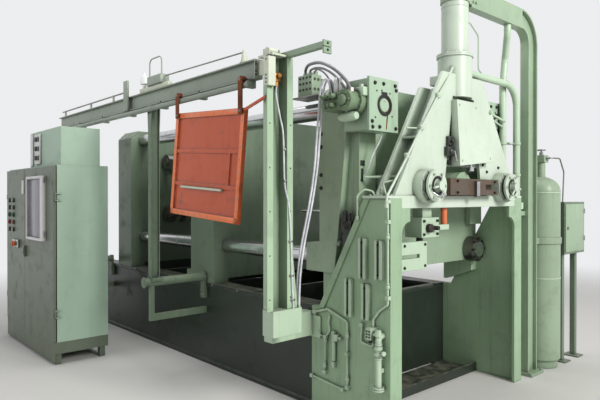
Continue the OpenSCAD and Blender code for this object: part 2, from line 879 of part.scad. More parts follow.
module gooseneck_post() {
    x = neck_x;
    corner_z = arm_z - neck_bend;
    arm_start = tube_d / 2 + 5;
    color("mediumseagreen") {
        block([x - 90, x + 90], [neck_y - 30, neck_y + neck_w + 30], [0, 25]);
        translate([x, neck_y, 24]) linear_extrude(corner_z - 24) neck_section();
        translate([x, neck_y - neck_bend, corner_z]) rotate([90, 0, 90]) rotate_extrude(angle = 90)
            translate([neck_bend, 0]) mirror([1, -1]) neck_section();
        translate([x, neck_y - neck_bend, arm_z]) rotate([90, 0, 0])
            linear_extrude(neck_y - neck_bend - arm_start) neck_section();
        // closed face of the arm
        block([x + neck_t / 2, x + neck_d / 2], [arm_start, neck_y - neck_bend],
              [arm_z, arm_z + neck_w]);
        // clamp round the accumulator
        difference() {
            union() {
                bar_z(column_x, 0, [arm_z + 20, arm_z + neck_w - 20], tube_d + 16);
                block([x - neck_d / 2, x + neck_d / 2], [tube_d / 4, arm_start + 1],
                      [arm_z + 20, arm_z + neck_w - 20]);
            }
            bar_z(column_x, 0, [arm_z, arm_z + neck_w], tube_d + 2 * cyl_gap);
        }
        // tie to the rear wall
        block([x - 30, x + 10], [wall_half, neck_y], [1480, 1520]);
    }
}

// Pressure pipes from the accumulator's socket and from the gooseneck's arm
module pressure_pipes() {
    pipe_x = back_pipe[0] + pressure_d + 4;
    y = back_pipe[1];
    out_y = wall_half + pressure_d / 2 + 5;
    out_z = socket_top - 100;
    block_z = [1540, 1600];
    color("darkseagreen") {
        pipe([[pipe_x, socket_d / 2 - 20, out_z], [pipe_x, out_y, out_z],
              [pipe_x, out_y, block_z[0] + 20]], pressure_d, 200);
        block([pipe_x - 45, pipe_x + 45], [wall_half, out_y + 45], block_z);
        pipe([[neck_x, y - 65, arm_z], [neck_x, y - 65, arm_z - 80],
              [back_pipe[0], y + 38, arm_z - 280], [back_pipe[0], y, out_z - 20],
              [back_pipe[0], y, top_z]], pressure_d, 90);
    }
}

// Gas bottle

module gas_bottle() {
    foot_h = 60;
    dome = 150;
    neck_top = 2060;
    strap_z = 1200;
    r = bottle_d / 2;
    color("mediumseagreen") {
        translate([bottle_x, bottle_y, 0]) rotate_extrude() {
            polygon([[0, 0], [r - 25, 0], [r - 25, foot_h], [r, foot_h + 25], [r, bottle_h],
                     [0, bottle_h]]);
            intersection() {
                translate([0, bottle_h]) scale([1, dome / r]) circle(r = r);
                translate([0, bottle_h - 1]) square([r, dome + 1]);
            }
        }
        bar_z(bottle_x, bottle_y, [bottle_h + dome - 20, neck_top - 70], 75);
        block([bottle_x - 50, bottle_x + 50], [bottle_y - 45, bottle_y + 45],
              [neck_top - 70, neck_top]);
        // strap to the gooseneck post
        bar_z(bottle_x, bottle_y, [strap_z, strap_z + 60], bottle_d + 20);
        block([bottle_x - 30, bottle_x + 60], [neck_y + neck_w, bottle_y - r + 20],
              [strap_z, strap_z + 60]);
    }
}

// Gas panel box on its stand beside the bottle
module gas_panel() {
    panel_w = 470;
    panel_d = 150;
    panel_z = [1080, 1600];
    stand_t = 50;
    y0 = bottle_y + bottle_d / 2 + 10;
    color("seagreen") {
        block([bottle_x, bottle_x + panel_d], [y0, y0 + panel_w], panel_z);
        for (y = [y0 + 60, y0 + panel_w - 60 - stand_t]) {
            block([bottle_x + stand_t, bottle_x + 2 * stand_t], [y, y + stand_t],
                  [12, panel_z[0]]);
            block([bottle_x, bottle_x + panel_d], [y - 40, y + stand_t + 40], [0, 12]);
        }
    }
}

// Pipework on the front wall

module drain_pipe() {
    y = -wall_half - 45;
    x = 647;
    color("palegreen") {
        pipe([[x, y, 318], [x, y, 690], [x, y + 45, 690]], 44, 30);
        for (z = [318, 333]) bar_z(x, y, [z, z + 12], 80);
        for (z = [560, 600]) bar_z(x, y, [z, z + 24], 58);
        block([x - 90, x - 45], [y - 30, y + 45], [660, 740]);
        bar_x([x - 46, x - 20], y, 700, 26);
        block([x - 15, x + 15], [y, y + 45], [440, 470]);
    }
}

// A tee or an end fitting on a small pipe, which also holds it to the wall
module small_fitting(x, z) {
    block([x - 14, x + 14], [-wall_half - small_d - 14, -wall_half], [z - 14, z + 14]);
}

module small_pipes() {
    y = -wall_half - small_d;
    thin_d = small_d - 2;
    color("palegreen") {
        // long tube down the wall's end to the drain valve, and the loop beside the valve
        pipe([[705, y, wall_h - 20], [705, y, 914], [625, y, 856], [575, y, 791], [575, y, 741]],
             small_d, 25);
        for (z = [wall_h - 20, 1480, 960]) small_fitting(705, z);
        pipe([[575, y, 659], [575, y, 600], [459, y, 615], [468, y, 739]], small_d, 20);
        small_fitting(468, 739);
        // frame of tubes at the left, its left bend higher than its right one
        pipe([[-20, y, 757], [122, y, 800], [326, y, 737], [326, y, 255]], small_d, 25);
        for (p = [[-20, 757], [326, 255], [326, 500]]) small_fitting(p[0], p[1]);
        // gauge glass, left tube and slanted bottom bar
        bar_z(188, y, [400, 630], thin_d);
        bar_z(188, y, [422, 609], 30);
        for (z = [400, 630]) small_fitting(188, z);
        pipe_straight([102, y, 585], [91, y, 317], thin_d);
        small_fitting(102, 585);
        small_fitting(91, 317);
        pipe_straight([-50, y, 256], [281, y, 228], thin_d);
        small_fitting(-50, 256);
        small_fitting(281, 228);
    }
}

// Tie bar end housings on the fixed platen, and the motor that drives the front one
module tie_bar_pullers() {
    color("mediumseagreen") both_sides() difference() {
        union() {
            block([platen_t, puller_x - 20], [puller_in, puller_out], [puller_low, puller_high]);
            block([puller_x - 20, puller_x], [puller_in - 10, puller_out + 10],
                  [puller_low - 10, puller_high + 10]);
        }
        bar_x([platen_t - 1, platen_t + nut_t + 21], tie_y, axis_z + tie_z, tie_d + 2 * tie_gap);
        bar_x([puller_x - 15, puller_x + 1], tie_y + 50, axis_z + tie_z - 40, 120);
    }
}

module puller_motor() {
    y = -puller_out;
    z = 2330;
    color("mediumseagreen") {
        bar_y(430, [y - 60, y], z, 190);
        bar_y(430, [y - 150, y - 60], z, 150);
        block([230, 380], [y - 150, y], [z - 60, z + 60]);
        for (p = [hose_a_route[0], hose_b_route[0]]) bar_z(p[0], p[1], [z + 59, p[2]], 20);
    }
    color("gainsboro") for (x = [295, 350]) bar_z(x, y - 70, [z + 60, z + 150], 50);
}

// Guard

// Hat section of the guard post in the XY plane
module post_section() {
    half = post_w / 2;
    body = half - post_lip;
    translate([post_x, post_y]) {
        translate([0, -body]) square([post_t, 2 * body]);
        for (s = [-1, 1]) {
            translate([0, s > 0 ? body - post_t : -body]) square([post_d, post_t]);
            translate([post_d - post_t, s > 0 ? body - post_t : -half]) square(
                [post_t, post_lip + post_t]);
        }
    }
}

module guard_post() {
    half = post_w / 2;
    color("mediumseagreen") difference() {
        union() {
            translate([0, 0, foot_top]) linear_extrude(post_top - foot_top) post_section();
            // the inner lip widens towards the foot
            plate_yz([[post_y + half - 1, 1250], [post_y + half + 40, 900],
                      [post_y + half + 40, foot_top], [post_y + half - 1, foot_top]],
                     [post_front - post_t, post_front]);
        }
        for (z = [950:300:2300]) for (s = [-1, 1])
            bar_x([post_front - post_t - 1, post_front + 1], post_y + s * (half - post_lip / 2),
                  z, 12);
        // the aisle side lip makes room for the head box
        block([post_x, post_front + 1], [post_y - half - 1, post_y - half + post_lip],
              [head_low, post_top + 1]);
    }
}

// Box foot of the guard post and the arm that carries it from the front wall
module guard_post_foot() {
    box_x = post_x + 40;
    inner_y = post_y + 185;
    arm = [-150, -50];
    arm_levels = [570, 760];
    color("palegreen") {
        block([post_x - 1, post_front + 15], [post_y - 75, post_y + 75], [post_low, foot_top]);
        block([box_x, post_front + 15], [post_y - 75, inner_y], [post_low, foot_top]);
        block([arm[0], box_x + 1], [inner_y - 60, inner_y], [post_low + 30, foot_top - 30]);
        block(arm, [inner_y - 60, -wall_half - 10], arm_levels);
        // pad on the front wall
        block([arm[0], 40], [-wall_half - 15, -wall_half],
              [arm_levels[0] - 10, arm_levels[1] - 30]);
        for (p = [hose_a_route[hose_last], hose_b_route[hose_last]])
            bar_z(p[0], p[1], [foot_top - 1, p[2]], 20);
    }
}

// Head box with its valve, and the link to the rail beam
module guard_post_head() {
    side_y = post_y - post_w / 2 + post_lip;
    cap_t = 14;
    roller_d = 52;
    color("beige") {
        block([post_front - 18, post_front + 35], [side_y - 62, side_y],
              [head_low + 5, post_top - 25]);
        block([post_x - 60, post_front], [post_y - 70, post_y + 55],
              [post_top, post_top + cap_t]);
        for (y = [-50, 42])
            block([post_x - 30, post_x + 40], [post_y + y, post_y + y + 8],
                  [post_top + cap_t - 1, post_top + cap_t + 45]);
        bar_y(post_x + 5, [post_y - 43, post_y + 43], post_top + cap_t + 30, roller_d);
        block([rail_end, post_x], [rail_y - 6, rail_y + 6], [rail_z + 20, rail_top - 20]);
    }
}

// Short beam from the guard post's top along the shot end, with its two end plates
module guard_head_beam() {
    beam_y = [post_y + 60, post_y + 100];
    beam_end = 560;
    beam_h = 40;
    color("seagreen") {
        block([post_x, beam_end], beam_y, [post_top, post_top + beam_h]);
        for (z = [post_top - 42, post_top + 3])
            block([beam_end - 1, beam_end + 12], [beam_y[0] - 15, beam_y[1] + 15], [z, z + 40]);
        block([beam_end - 12, beam_end], [beam_y[0] + 5, beam_y[1] - 5],
              [post_top - 30, post_top + 1]);
    }
}

module i_section(w, h, t) {
    translate([-w / 2, 0]) square([w, t]);
    translate([-w / 2, h - t]) square([w, t]);
    translate([-t / 2, 0]) square([t, h]);
}

module rail_beam() {
    color("seagreen") {
        translate([rail_end - rail_len, rail_y, rail_z]) rotate([90, 0, 90])
            linear_extrude(rail_len - 12) i_section(rail_w, rail_h, 10);
        difference() {
            block([rail_end - 12, rail_end], [rail_y - rail_w / 2, rail_y + rail_w / 2],
                  [rail_z, rail_top]);
            for (s = [-1, 1])
                bar_x([rail_end - 13, rail_end + 1], rail_y + s * 22, rail_z + 70, 14);
        }
    }
}

// Track tube under the rail beam, on clips that reach its back
module door_track() {
    clip_w = 40;
    color("silver") bar_x([rail_end - rail_len, rail_end - 10], track_y, track_z, track_d);
    color("seagreen") for (i = [0:6]) {
        x = rail_end - 80 - i * 650;
        block([x - clip_w, x], [track_y + track_d / 2 - 8, rail_y + rail_w / 2],
              [track_z - 8, track_z + 8]);
        block([x - clip_w, x], [rail_y - rail_w / 2, rail_y + rail_w / 2], [track_z + 7, rail_z]);
    }
}

module flared_posts() {
    half = 27;
    flare = 45;
    flare_z = rail_z - 250;
    flange_t = 8;
    color("mediumseagreen") for (x = support_x) {
        for (y = [rail_y - support_half, rail_y + support_half - flange_t])
            plate_xz([[x - half, support_foot], [x + half, support_foot], [x + half, flare_z],
                      [x + flare, rail_z], [x - flare, rail_z], [x - half, flare_z]],
                     [y, y + flange_t]);
        block([x - 5, x + 5], [rail_y - support_half + 7, rail_y + support_half - 7],
              [support_foot, rail_z]);
    }
}

// Outriggers from the bed that carry the support posts, the left one short of the cabinet
module outriggers() {
    bar_d = 80;
    strut_h = 60;
    bracket_t = 30;
    bracket_low = 650;
    bar_z0 = support_foot - bar_d / 2;
    strut_y = rail_y - support_half;
    color("mediumseagreen") for (x = support_x) {
        end_y = x < cab_x ? cab_y + 20 : cab_y - 35;
        bar_y(x, [end_y, -bed_half - 1], bar_z0, bar_d);
        bar_y(x, [end_y, end_y + 5], bar_z0, bar_d + 20);
        // bracket on the beam's web and the edge of its top flange
        block([x - 30, x + 30], [-bed_half - bracket_t, -bed_half], [bracket_low, bar_z0 + 45]);
        block([x - 30, x + 30], [-bed_half - 1, -beam_web_y],
              [bracket_low, bed_h - beam_flange_t]);
        block([x - 60, x + 60], [strut_y, rail_y + 65], [support_foot - 30, support_foot]);
        block([x - 20, x + 20], [strut_y, -beam_web_y], [500, 500 + strut_h]);
        block([x - 20, x + 20], [strut_y, strut_y + 40], [501, bar_z0]);
    }
}

// Sliding guard door in its frame, hung askew
module door_outline(inset) {
    translate([-door_w + inset, inset]) square([door_w - 2 * inset, door_h - 2 * inset]);
}

// Height of the door's top edge at a place along the rail
function door_edge(x) = door_z + door_h / cos(door_tilt) - (x - door_x) * tan(door_tilt);

module guard_door() {
    sheet_t = 4;
    low_rail = 0.29;
    mid_rail = 0.61;
    divider = 0.82;
    y0 = track_y - door_t / 2;
    corner = [door_x + door_h * sin(door_tilt), door_edge(door_x + door_h * sin(door_tilt))];
    color("darkorange") {
        translate([door_x, y0 + door_t - door_h * sin(door_lean), door_z])
            rotate([-door_lean, door_tilt, 0]) rotate([90, 0, 0]) {
                linear_extrude(door_t) difference() {
                    door_outline(0);
                    door_outline(door_bar);
                }
                translate([0, 0, (door_t - sheet_t) / 2]) linear_extrude(sheet_t)
                    door_outline(door_bar - 1);
                for (f = [low_rail, mid_rail])
                    translate([-door_w + door_bar - 1, f * door_h, 2])
                        cube([door_w - 2 * door_bar + 2, 30, door_t - 4]);
                translate([-door_w * (1 - divider), low_rail * door_h + 29, 2])
                    cube([25, (mid_rail - low_rail) * door_h - 28, door_t - 4]);
            }
        // latch bar from the top corner towards the guard post
        plate_xz([[corner[0] - 10, corner[1] - 26], [corner[0] + 244, corner[1] + 38],
                  [corner[0] + 244, corner[1] + 58], [corner[0] - 10, corner[1] - 6]],
                 [y0 - 8, y0 + 4]);
    }
}

// Rollers on the track tube with the straps that carry the door
module door_hangers() {
    hanger_t = 8;
    half = 25;
    lap = 42;
    roller_d = 44;
    roller_z = track_z + track_d / 2 + 0.3 + roller_d / 2;
    strap_y = track_y - track_d / 2 - 3 - hanger_t;
    face_y = track_y - door_t / 2 - 1.9;
    color("sienna") for (x = [door_x + 16, door_x - door_w + 95]) {
        edge = door_edge(x);
        block([x - half, x + half], [strap_y, strap_y + hanger_t], [edge - lap, roller_z + 10]);
        block([x - half, x + half], [strap_y + hanger_t - 1, face_y], [edge - lap, edge - 4]);
        bar_y(x, [strap_y + hanger_t - 1, track_y + 9], roller_z, roller_d);
    }
}

// Control cabinet

module cabinet_back() {
    color("mediumaquamarine")
        block([cab_x - cab_len, cab_x], [cab_y - cab_t, cab_y], [plinth_h, cab_h - cab_t]);
    color("silver")
        block([cab_x - cab_len + 60, cab_x - 60], [cab_y - cab_t - 30, cab_y - cab_t],
              [plinth_h + 60, cab_h - 80]);
}

module cabinet_sides() {
    front = leaf_y + leaf_gap;
    color("mediumaquamarine") for (x = [cab_x - cab_len, cab_x - cab_t]) {
        block([x, x + cab_t], [front, cab_y - cab_t], [plinth_h, cab_h - cab_t]);
    }
    // hinge lugs with their pins, outside both side walls
    color("dimgray") for (s = [-1, 1]) for (z = hinge_levels) {
        x = s > 0 ? cab_x : cab_x - cab_len;
        for (end = [-30, 30]) {
            block(s > 0 ? [x, x + hinge_off + 8] : [x - hinge_off - 8, x],
                  [leaf_y - 12, front + 40], end < 0 ? [z - 38, z - 30.3] : [z + 30.3, z + 38]);
        }
        bar_z(x + s * hinge_off, leaf_y - 12, [z - 30.3, z + 30.3], hinge_pin_d);
    }
}

module cabinet_top() {
    color("mediumaquamarine")
        block([cab_x - cab_len, cab_x], [leaf_y + leaf_gap, cab_y], [cab_h - cab_t, cab_h]);
}

module cabinet_plinth() {
    foot = 60;
    leg_w = 55;
    color("mediumaquamarine") {
        block([cab_x - cab_len, cab_x], [cab_front + 5, cab_y], [foot + 45, plinth_h]);
        for (x = [cab_x - cab_len + 20, cab_x - 20 - leg_w])
            for (y = [cab_front + 25, cab_y - 25 - leg_w])
                block([x, x + leg_w], [y, y + leg_w], [0, foot + 46]);
        block([cab_x - cab_len, cab_x], [cab_front + 5, cab_front + 17], [20, foot + 46]);
    }
}

module cabinet_top_box() {
    color("mediumaquamarine") {
        block([cab_x - top_box_len, cab_x], [cab_front + 70, cab_y - 85],
              [cab_h, cab_h + top_box_h]);
    }
}

// A cabinet door with its knuckles, on the side given by s
module leaf(x0, x1, s) {
    edge = s > 0 ? cab_x : cab_x - cab_len;
    axis_x = edge + s * hinge_off;
    axis_y = leaf_y - 12;
    block([x0, x1], [cab_front, leaf_y], [leaf_low + 4, leaf_high]);
    for (z = hinge_levels) difference() {
        union() {
            bar_z(axis_x, axis_y, [z - 30, z + 30], hinge_pin_d + 10);
            block(s > 0 ? [edge - 6, axis_x] : [axis_x, edge + 6], [axis_y - 6, axis_y + 6],
                  [z - 30, z + 30]);
        }
        bar_z(axis_x, axis_y, [z - 31, z + 31], hinge_pin_d + 2 * hinge_gap);
    }
}

module cabinet_door_left() {
    color("mediumaquamarine") leaf(cab_x - cab_len + 3, leaf_x - 3, -1);
    // main switch and push buttons
    outer_x = cab_x - cab_len;
    switch_x = [outer_x + 300, outer_x + 525];
    switch_z = [1081, 1171];
    button_x = outer_x + 129;
    button_z = 1278;
    button_d = 40;
    color("white") block(switch_x, [cab_front - 20, cab_front], switch_z);
    color("orangered") bar_y(switch_x[1] - 60, [cab_front - 45, cab_front - 20],
                             (switch_z[0] + switch_z[1]) / 2, 50);
    color("dimgray") for (i = [0:4]) for (j = [0, 1])
        bar_y(button_x + 4 * j * button_d, [cab_front - 18, cab_front], button_z + i * 84, button_d);
}

module cabinet_door_right() {
    color("mediumaquamarine") leaf(leaf_x + 3, cab_x - 3, 1);
    color("dimgray") block([leaf_x + 40, leaf_x + 70], [cab_front - 25, cab_front],
                           [1000, 1120]);
}

// Framed window box on the right cabinet door
module cabinet_window() {
    x = [leaf_x + 226, cab_x - 230];
    z = [1205, 1865];
    frame = 28;
    proud = 50;
    color("white") difference() {
        block(x, [cab_front - proud, cab_front], z);
        block([x[0] + frame, x[1] - frame], [cab_front - proud - 1, cab_front - 15],
              [z[0] + frame, z[1] - frame]);
    }
    color("thistle") block([x[0] + frame, x[1] - frame], [cab_front - 30, cab_front - 24],
                           [z[0] + frame, z[1] - frame]);
}

// Twin service hoses that hang from the motor's valve block down to the guard post's foot
hose_a_route = [[250, -1045, 2410], [250, -1045, 2450], [245, -1050, 2485], [232, -1059, 2508],
                [215, -1066, 2508], [198, -1072, 2485], [185, -1076, 2440], [177, -1079, 2370],
                [172, -1084, 2270], [169, -1094, 2150], [168, -1105, 2030], [168, -1116, 1910],
                [168, -1136, 1780], [169, -1165, 1640], [170, -1203, 1490], [170, -1240, 1350],
                [170, -1270, 1210], [170, -1288, 1080], [170, -1294, 970], [170, -1295, 920],
                [170, -1295, 885]];
hose_last = len(hose_a_route) - 1;
// The second hose keeps beside the first, behind it at the top and right of it at the foot
function beside(i) = min(max((i - 1) / (hose_last - 2), 0), 1);
hose_b_route = [for (i = [0:hose_last])
    hose_a_route[i] + [24 * beside(i), 36 * (1 - beside(i)), 0]];
module service_hose_a() {
    color("gainsboro") hose(hose_a_route, hose_r);
}

module service_hose_b() {
    color("gainsboro") hose(hose_b_route, hose_r);
}

bed_front_beam();
bed_rear_beam();
bed_cross_members();
fixed_platen();
moving_platen();
end_platen();
tie_bars();
tie_bar_nuts();
toggle_links();
toggle_crosshead();
closing_cylinder();
side_wall_front();
side_wall_rear();
wall_channels();
portal_beam();
tower_leg_front();
tower_leg_rear();
tower_head();
accumulator_tube();
crosshead_block();
side_cylinder_front();
side_cylinder_rear();
shot_cylinder();
valve_cover();
shot_valves();
gooseneck_post();
pressure_pipes();
gas_bottle();
gas_panel();
drain_pipe();
small_pipes();
tie_bar_pullers();
puller_motor();
guard_post();
guard_post_foot();
guard_post_head();
guard_head_beam();
rail_beam();
door_track();
flared_posts();
outriggers();
guard_door();
door_hangers();
cabinet_back();
cabinet_sides();
cabinet_top();
cabinet_plinth();
cabinet_top_box();
cabinet_door_left();
cabinet_door_right();
cabinet_window();
service_hose_a();
service_hose_b();
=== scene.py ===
import math
import bmesh
import bpy
from mathutils import Matrix, Vector


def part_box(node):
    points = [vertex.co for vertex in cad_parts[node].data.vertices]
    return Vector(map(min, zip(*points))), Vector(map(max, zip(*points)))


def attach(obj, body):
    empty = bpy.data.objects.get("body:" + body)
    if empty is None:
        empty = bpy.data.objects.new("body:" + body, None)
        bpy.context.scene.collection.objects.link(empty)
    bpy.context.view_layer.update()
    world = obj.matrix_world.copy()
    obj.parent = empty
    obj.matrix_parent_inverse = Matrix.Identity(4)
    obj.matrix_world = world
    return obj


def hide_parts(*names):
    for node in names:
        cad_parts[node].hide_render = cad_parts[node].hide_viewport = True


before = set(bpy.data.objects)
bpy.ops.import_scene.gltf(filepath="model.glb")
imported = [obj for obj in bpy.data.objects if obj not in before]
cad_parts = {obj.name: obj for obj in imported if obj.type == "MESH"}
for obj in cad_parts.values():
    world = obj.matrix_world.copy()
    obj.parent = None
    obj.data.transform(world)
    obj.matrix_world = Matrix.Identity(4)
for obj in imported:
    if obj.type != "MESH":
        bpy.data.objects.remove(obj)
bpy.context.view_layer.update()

# Camera at a standing person's eye height on the shot end's aisle side, level, looking along
# the machine's front towards the cabinet.
EYE = Vector((3.15, -3.93, 1.65))
LOOK = Vector((-0.7455, 0.6665, -0.0053))
LENS = 33.6
camera = bpy.data.objects.new("camera", bpy.data.cameras.new("camera"))
bpy.context.scene.collection.objects.link(camera)
camera.location = EYE
camera.rotation_mode = "QUATERNION"
camera.rotation_quaternion = LOOK.to_track_quat("-Z", "Y")
camera.data.lens = LENS
camera.data.clip_end = 200
bpy.context.scene.camera = camera
bpy.context.scene.view_settings.view_transform = "Standard"


def srgb(r, g, b):
    """A colour given in 0 to 255 steps, as linear light."""
    def channel(c):
        c = c / 255
        return c / 12.92 if c <= 0.04045 else ((c + 0.055) / 1.055) ** 2.4
    return (channel(r), channel(g), channel(b), 1.0)


class Nodes:
    """The node tree of a material or a world, with short calls to add and link nodes."""

    def __init__(self, owner):
        self.owner = bpy.data.materials.new(owner) if isinstance(owner, str) else owner
        self.owner.use_nodes = True
        self.tree = self.owner.node_tree
        self.tree.nodes.clear()

    def add(self, kind, settings=None, **inputs):
        node = self.tree.nodes.new("ShaderNode" + kind)
        for key, value in (settings or {}).items():
            setattr(node, key, value)
        for key, value in inputs.items():
            self.feed(node, key.replace("_", " "), value)
        return node

    def feed(self, node, socket, value):
        target = node.inputs[socket]
        if isinstance(value, bpy.types.NodeSocket):
            self.tree.links.new(value, target)
        else:
            target.default_value = value

    def fed(self, kind, settings, *values):
        """A node whose first sockets are fed in order."""
        node = self.add(kind, settings)
        for socket, value in enumerate(values):
            self.feed(node, socket, value)
        return node.outputs[0]

    def mix(self, factor, a, b):
        node = self.add("Mix", {"data_type": "RGBA"})
        for socket, value in ((0, factor), (6, a), (7, b)):
            self.feed(node, socket, value)
        return node.outputs[2]

    def math(self, operation, a, b=0.0, clamp=False):
        return self.fed("Math", {"operation": operation, "use_clamp": clamp}, a, b)

    def over(self, base, mask, strength, colour):
        """A colour laid over base, as strongly as a mask says."""
        return self.mix(self.math("MULTIPLY", mask, strength), base, colour)

    def noise(self, scale, stretch=(1, 1, 1), detail=3.0, rough=0.55, offset=(0, 0, 0)):
        place = self.add("TexCoord").outputs["Object"]
        mapped = self.add("Mapping", Vector=place, Scale=stretch, Location=offset)
        node = self.add("TexNoise", Vector=mapped.outputs[0], Scale=scale,
                        Detail=detail, Roughness=rough)
        return node.outputs[0]

    def ramp(self, value, low, high):
        """0 below low and 1 above high, with a soft step between them."""
        smooth = {"clamp": True, "interpolation_type": "SMOOTHSTEP"}
        return self.fed("MapRange", smooth, value, low, high, 0.0, 1.0)

    def finish(self, shader, kind="OutputMaterial"):
        self.tree.links.new(shader, self.add(kind).inputs[0])
        return self.owner


# Floor and backdrop: plain pale ground that keeps the shadow near the machine and runs out
# into the backdrop's own pale colour further away.
BACKDROP = (0.84, 0.85, 0.86, 1.0)


def ground_material():
    n = Nodes("pale_floor")
    place = n.add("TexCoord").outputs["Object"]
    reach = n.add("VectorMath", {"operation": "LENGTH"})
    n.feed(reach, 0, place)
    lit = n.add("BsdfPrincipled", Base_Color=srgb(206, 204, 200), Roughness=0.8)
    far = n.add("Emission", Color=BACKDROP, Strength=1.0)
    near_to_far = n.ramp(reach.outputs["Value"], 5.0, 11.0)
    return n.finish(n.fed("MixShader", None, near_to_far, lit.outputs[0], far.outputs[0]))


FLOOR_HALF, FLOOR_DROP = 60, 0.002
floor_mesh = bpy.data.meshes.new("floor")
floor_mesh.from_pydata([(sx * FLOOR_HALF, sy * FLOOR_HALF, -FLOOR_DROP)
                        for sx, sy in ((-1, -1), (1, -1), (1, 1), (-1, 1))], [], [(0, 1, 2, 3)])
floor = bpy.data.objects.new("floor", floor_mesh)
floor.data.materials.append(ground_material())
bpy.context.scene.collection.objects.link(floor)


# Soft studio light: the strongest lamp stands high beyond the shot end, so the faces towards
# +X are the bright ones and the aisle side lies in shade, as by the foundry's windows. Only
# the camera and mirror-like faces see the backdrop's colour; matt faces get a dimmer sky.
def area_lamp(name, place, aim, size, power, tint=(1.0, 1.0, 1.0)):
    lamp = bpy.data.lights.new(name, "AREA")
    lamp.shape = "RECTANGLE"
    lamp.size, lamp.size_y = size
    lamp.energy = power
    lamp.color = tint
    holder = bpy.data.objects.new(name, lamp)
    holder.location = place
    holder.rotation_mode = "QUATERNION"
    holder.rotation_quaternion = (Vector(aim) - Vector(place)).to_track_quat("-Z", "Y")
    bpy.context.scene.collection.objects.link(holder)


area_lamp("key", (13.0, -0.3, 8.0), (-0.5, 0.0, 1.4), (4.5, 4.5), 1950, (1.0, 0.995, 0.97))
area_lamp("aisle", (-2.5, -8.0, 5.0), (-1.8, -1.0, 1.3), (6.0, 4.0), 135, (0.97, 0.98, 1.0))
area_lamp("roof", (-2.0, 0.5, 8.0), (-1.5, 0.0, 0.0), (8.0, 5.0), 300)

SKY = (0.27, 0.28, 0.29, 1.0)
world = bpy.data.worlds.new("studio")
bpy.context.scene.world = world
w = Nodes(world)
ray = w.add("LightPath")
seen = w.math("MAXIMUM", ray.outputs["Is Camera Ray"], ray.outputs["Is Glossy Ray"])
seen = w.math("MAXIMUM", seen, ray.outputs["Is Transmission Ray"])
glow = w.add("Background", Color=w.mix(seen, SKY, BACKDROP))
w.finish(glow.outputs[0], "OutputWorld")


# Service hoses: two grey rubber hoses that hang from the valve block at the upper tie bar end
# down to the guard post's foot. Their routes repeat the frame's, in millimetres.
HOSE_D = 0.016
HOSE_A = [(250, -1045, 2410), (250, -1045, 2450), (245, -1050, 2485), (232, -1059, 2508),
          (215, -1066, 2508), (198, -1072, 2485), (185, -1076, 2440), (177, -1079, 2370),
          (172, -1084, 2270), (169, -1094, 2150), (168, -1105, 2030), (168, -1116, 1910),
          (168, -1136, 1780), (169, -1165, 1640), (170, -1203, 1490), (170, -1240, 1350),
          (170, -1270, 1210), (170, -1288, 1080), (170, -1294, 970), (170, -1295, 920),
          (170, -1295, 885)]


def hose_material():
    n = Nodes("grey_rubber")
    tone = n.mix(n.ramp(n.noise(14, detail=4), 0.35, 0.7), srgb(190, 190, 196),
                 srgb(224, 224, 230))
    bump = n.add("Bump", Strength=0.15, Distance=0.001, Height=n.noise(900))
    skin = n.add("BsdfPrincipled", Base_Color=tone, Roughness=0.42,
                 Normal=bump.outputs[0])
    return n.finish(skin.outputs[0])


def spline_curve(name, points, diameter, material):
    """A round smooth curve through points, as one open spline."""
    data = bpy.data.curves.new(name, "CURVE")
    data.dimensions = "3D"
    data.bevel_depth = diameter / 2
    data.bevel_resolution = 4
    data.resolution_u = 6
    data.use_fill_caps = True
    spline = data.splines.new("BEZIER")
    spline.bezier_points.add(len(points) - 1)
    for knot, point in zip(spline.bezier_points, points):
        knot.co = point
        knot.handle_left_type = knot.handle_right_type = "AUTO"
    data.materials.append(material)
    piece = bpy.data.objects.new(name, data)
    bpy.context.scene.collection.objects.link(piece)
    return piece


rubber = hose_material()
last_point = len(HOSE_A) - 1
HOSE_B = []
for i, (x, y, z) in enumerate(HOSE_A):
    apart = min(max((i - 1) / (last_point - 2), 0), 1)
    HOSE_B.append((x + 24 * apart, y + 36 * (1 - apart), z))
for node_name, route in (("service_hose_a", HOSE_A), ("service_hose_b", HOSE_B)):
    metres = [tuple(c / 1000 for c in p) for p in route]
    piece = spline_curve("rubber_" + node_name, metres, HOSE_D, rubber)
    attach(piece, "machine")
    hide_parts(node_name)


# Bed: welded box beams in dark, oily machine paint, scuffed along their lips, with cross
# members and a drip tray between them; part of the paint's darkness is painted shade.
# Bolts hold the splash sheets under the front lip.
UP, DOWN = (0, 0, 1), (0, 0, -1)
FRONT, LEFT, RIGHT = (0, -1, 0), (-1, 0, 0), (1, 0, 0)


def shade(colour, factor, lift=0.0):
    """A darker or lighter tone of a colour."""
    return tuple(min(1.0, c * factor + lift) for c in colour[:3]) + (1.0,)


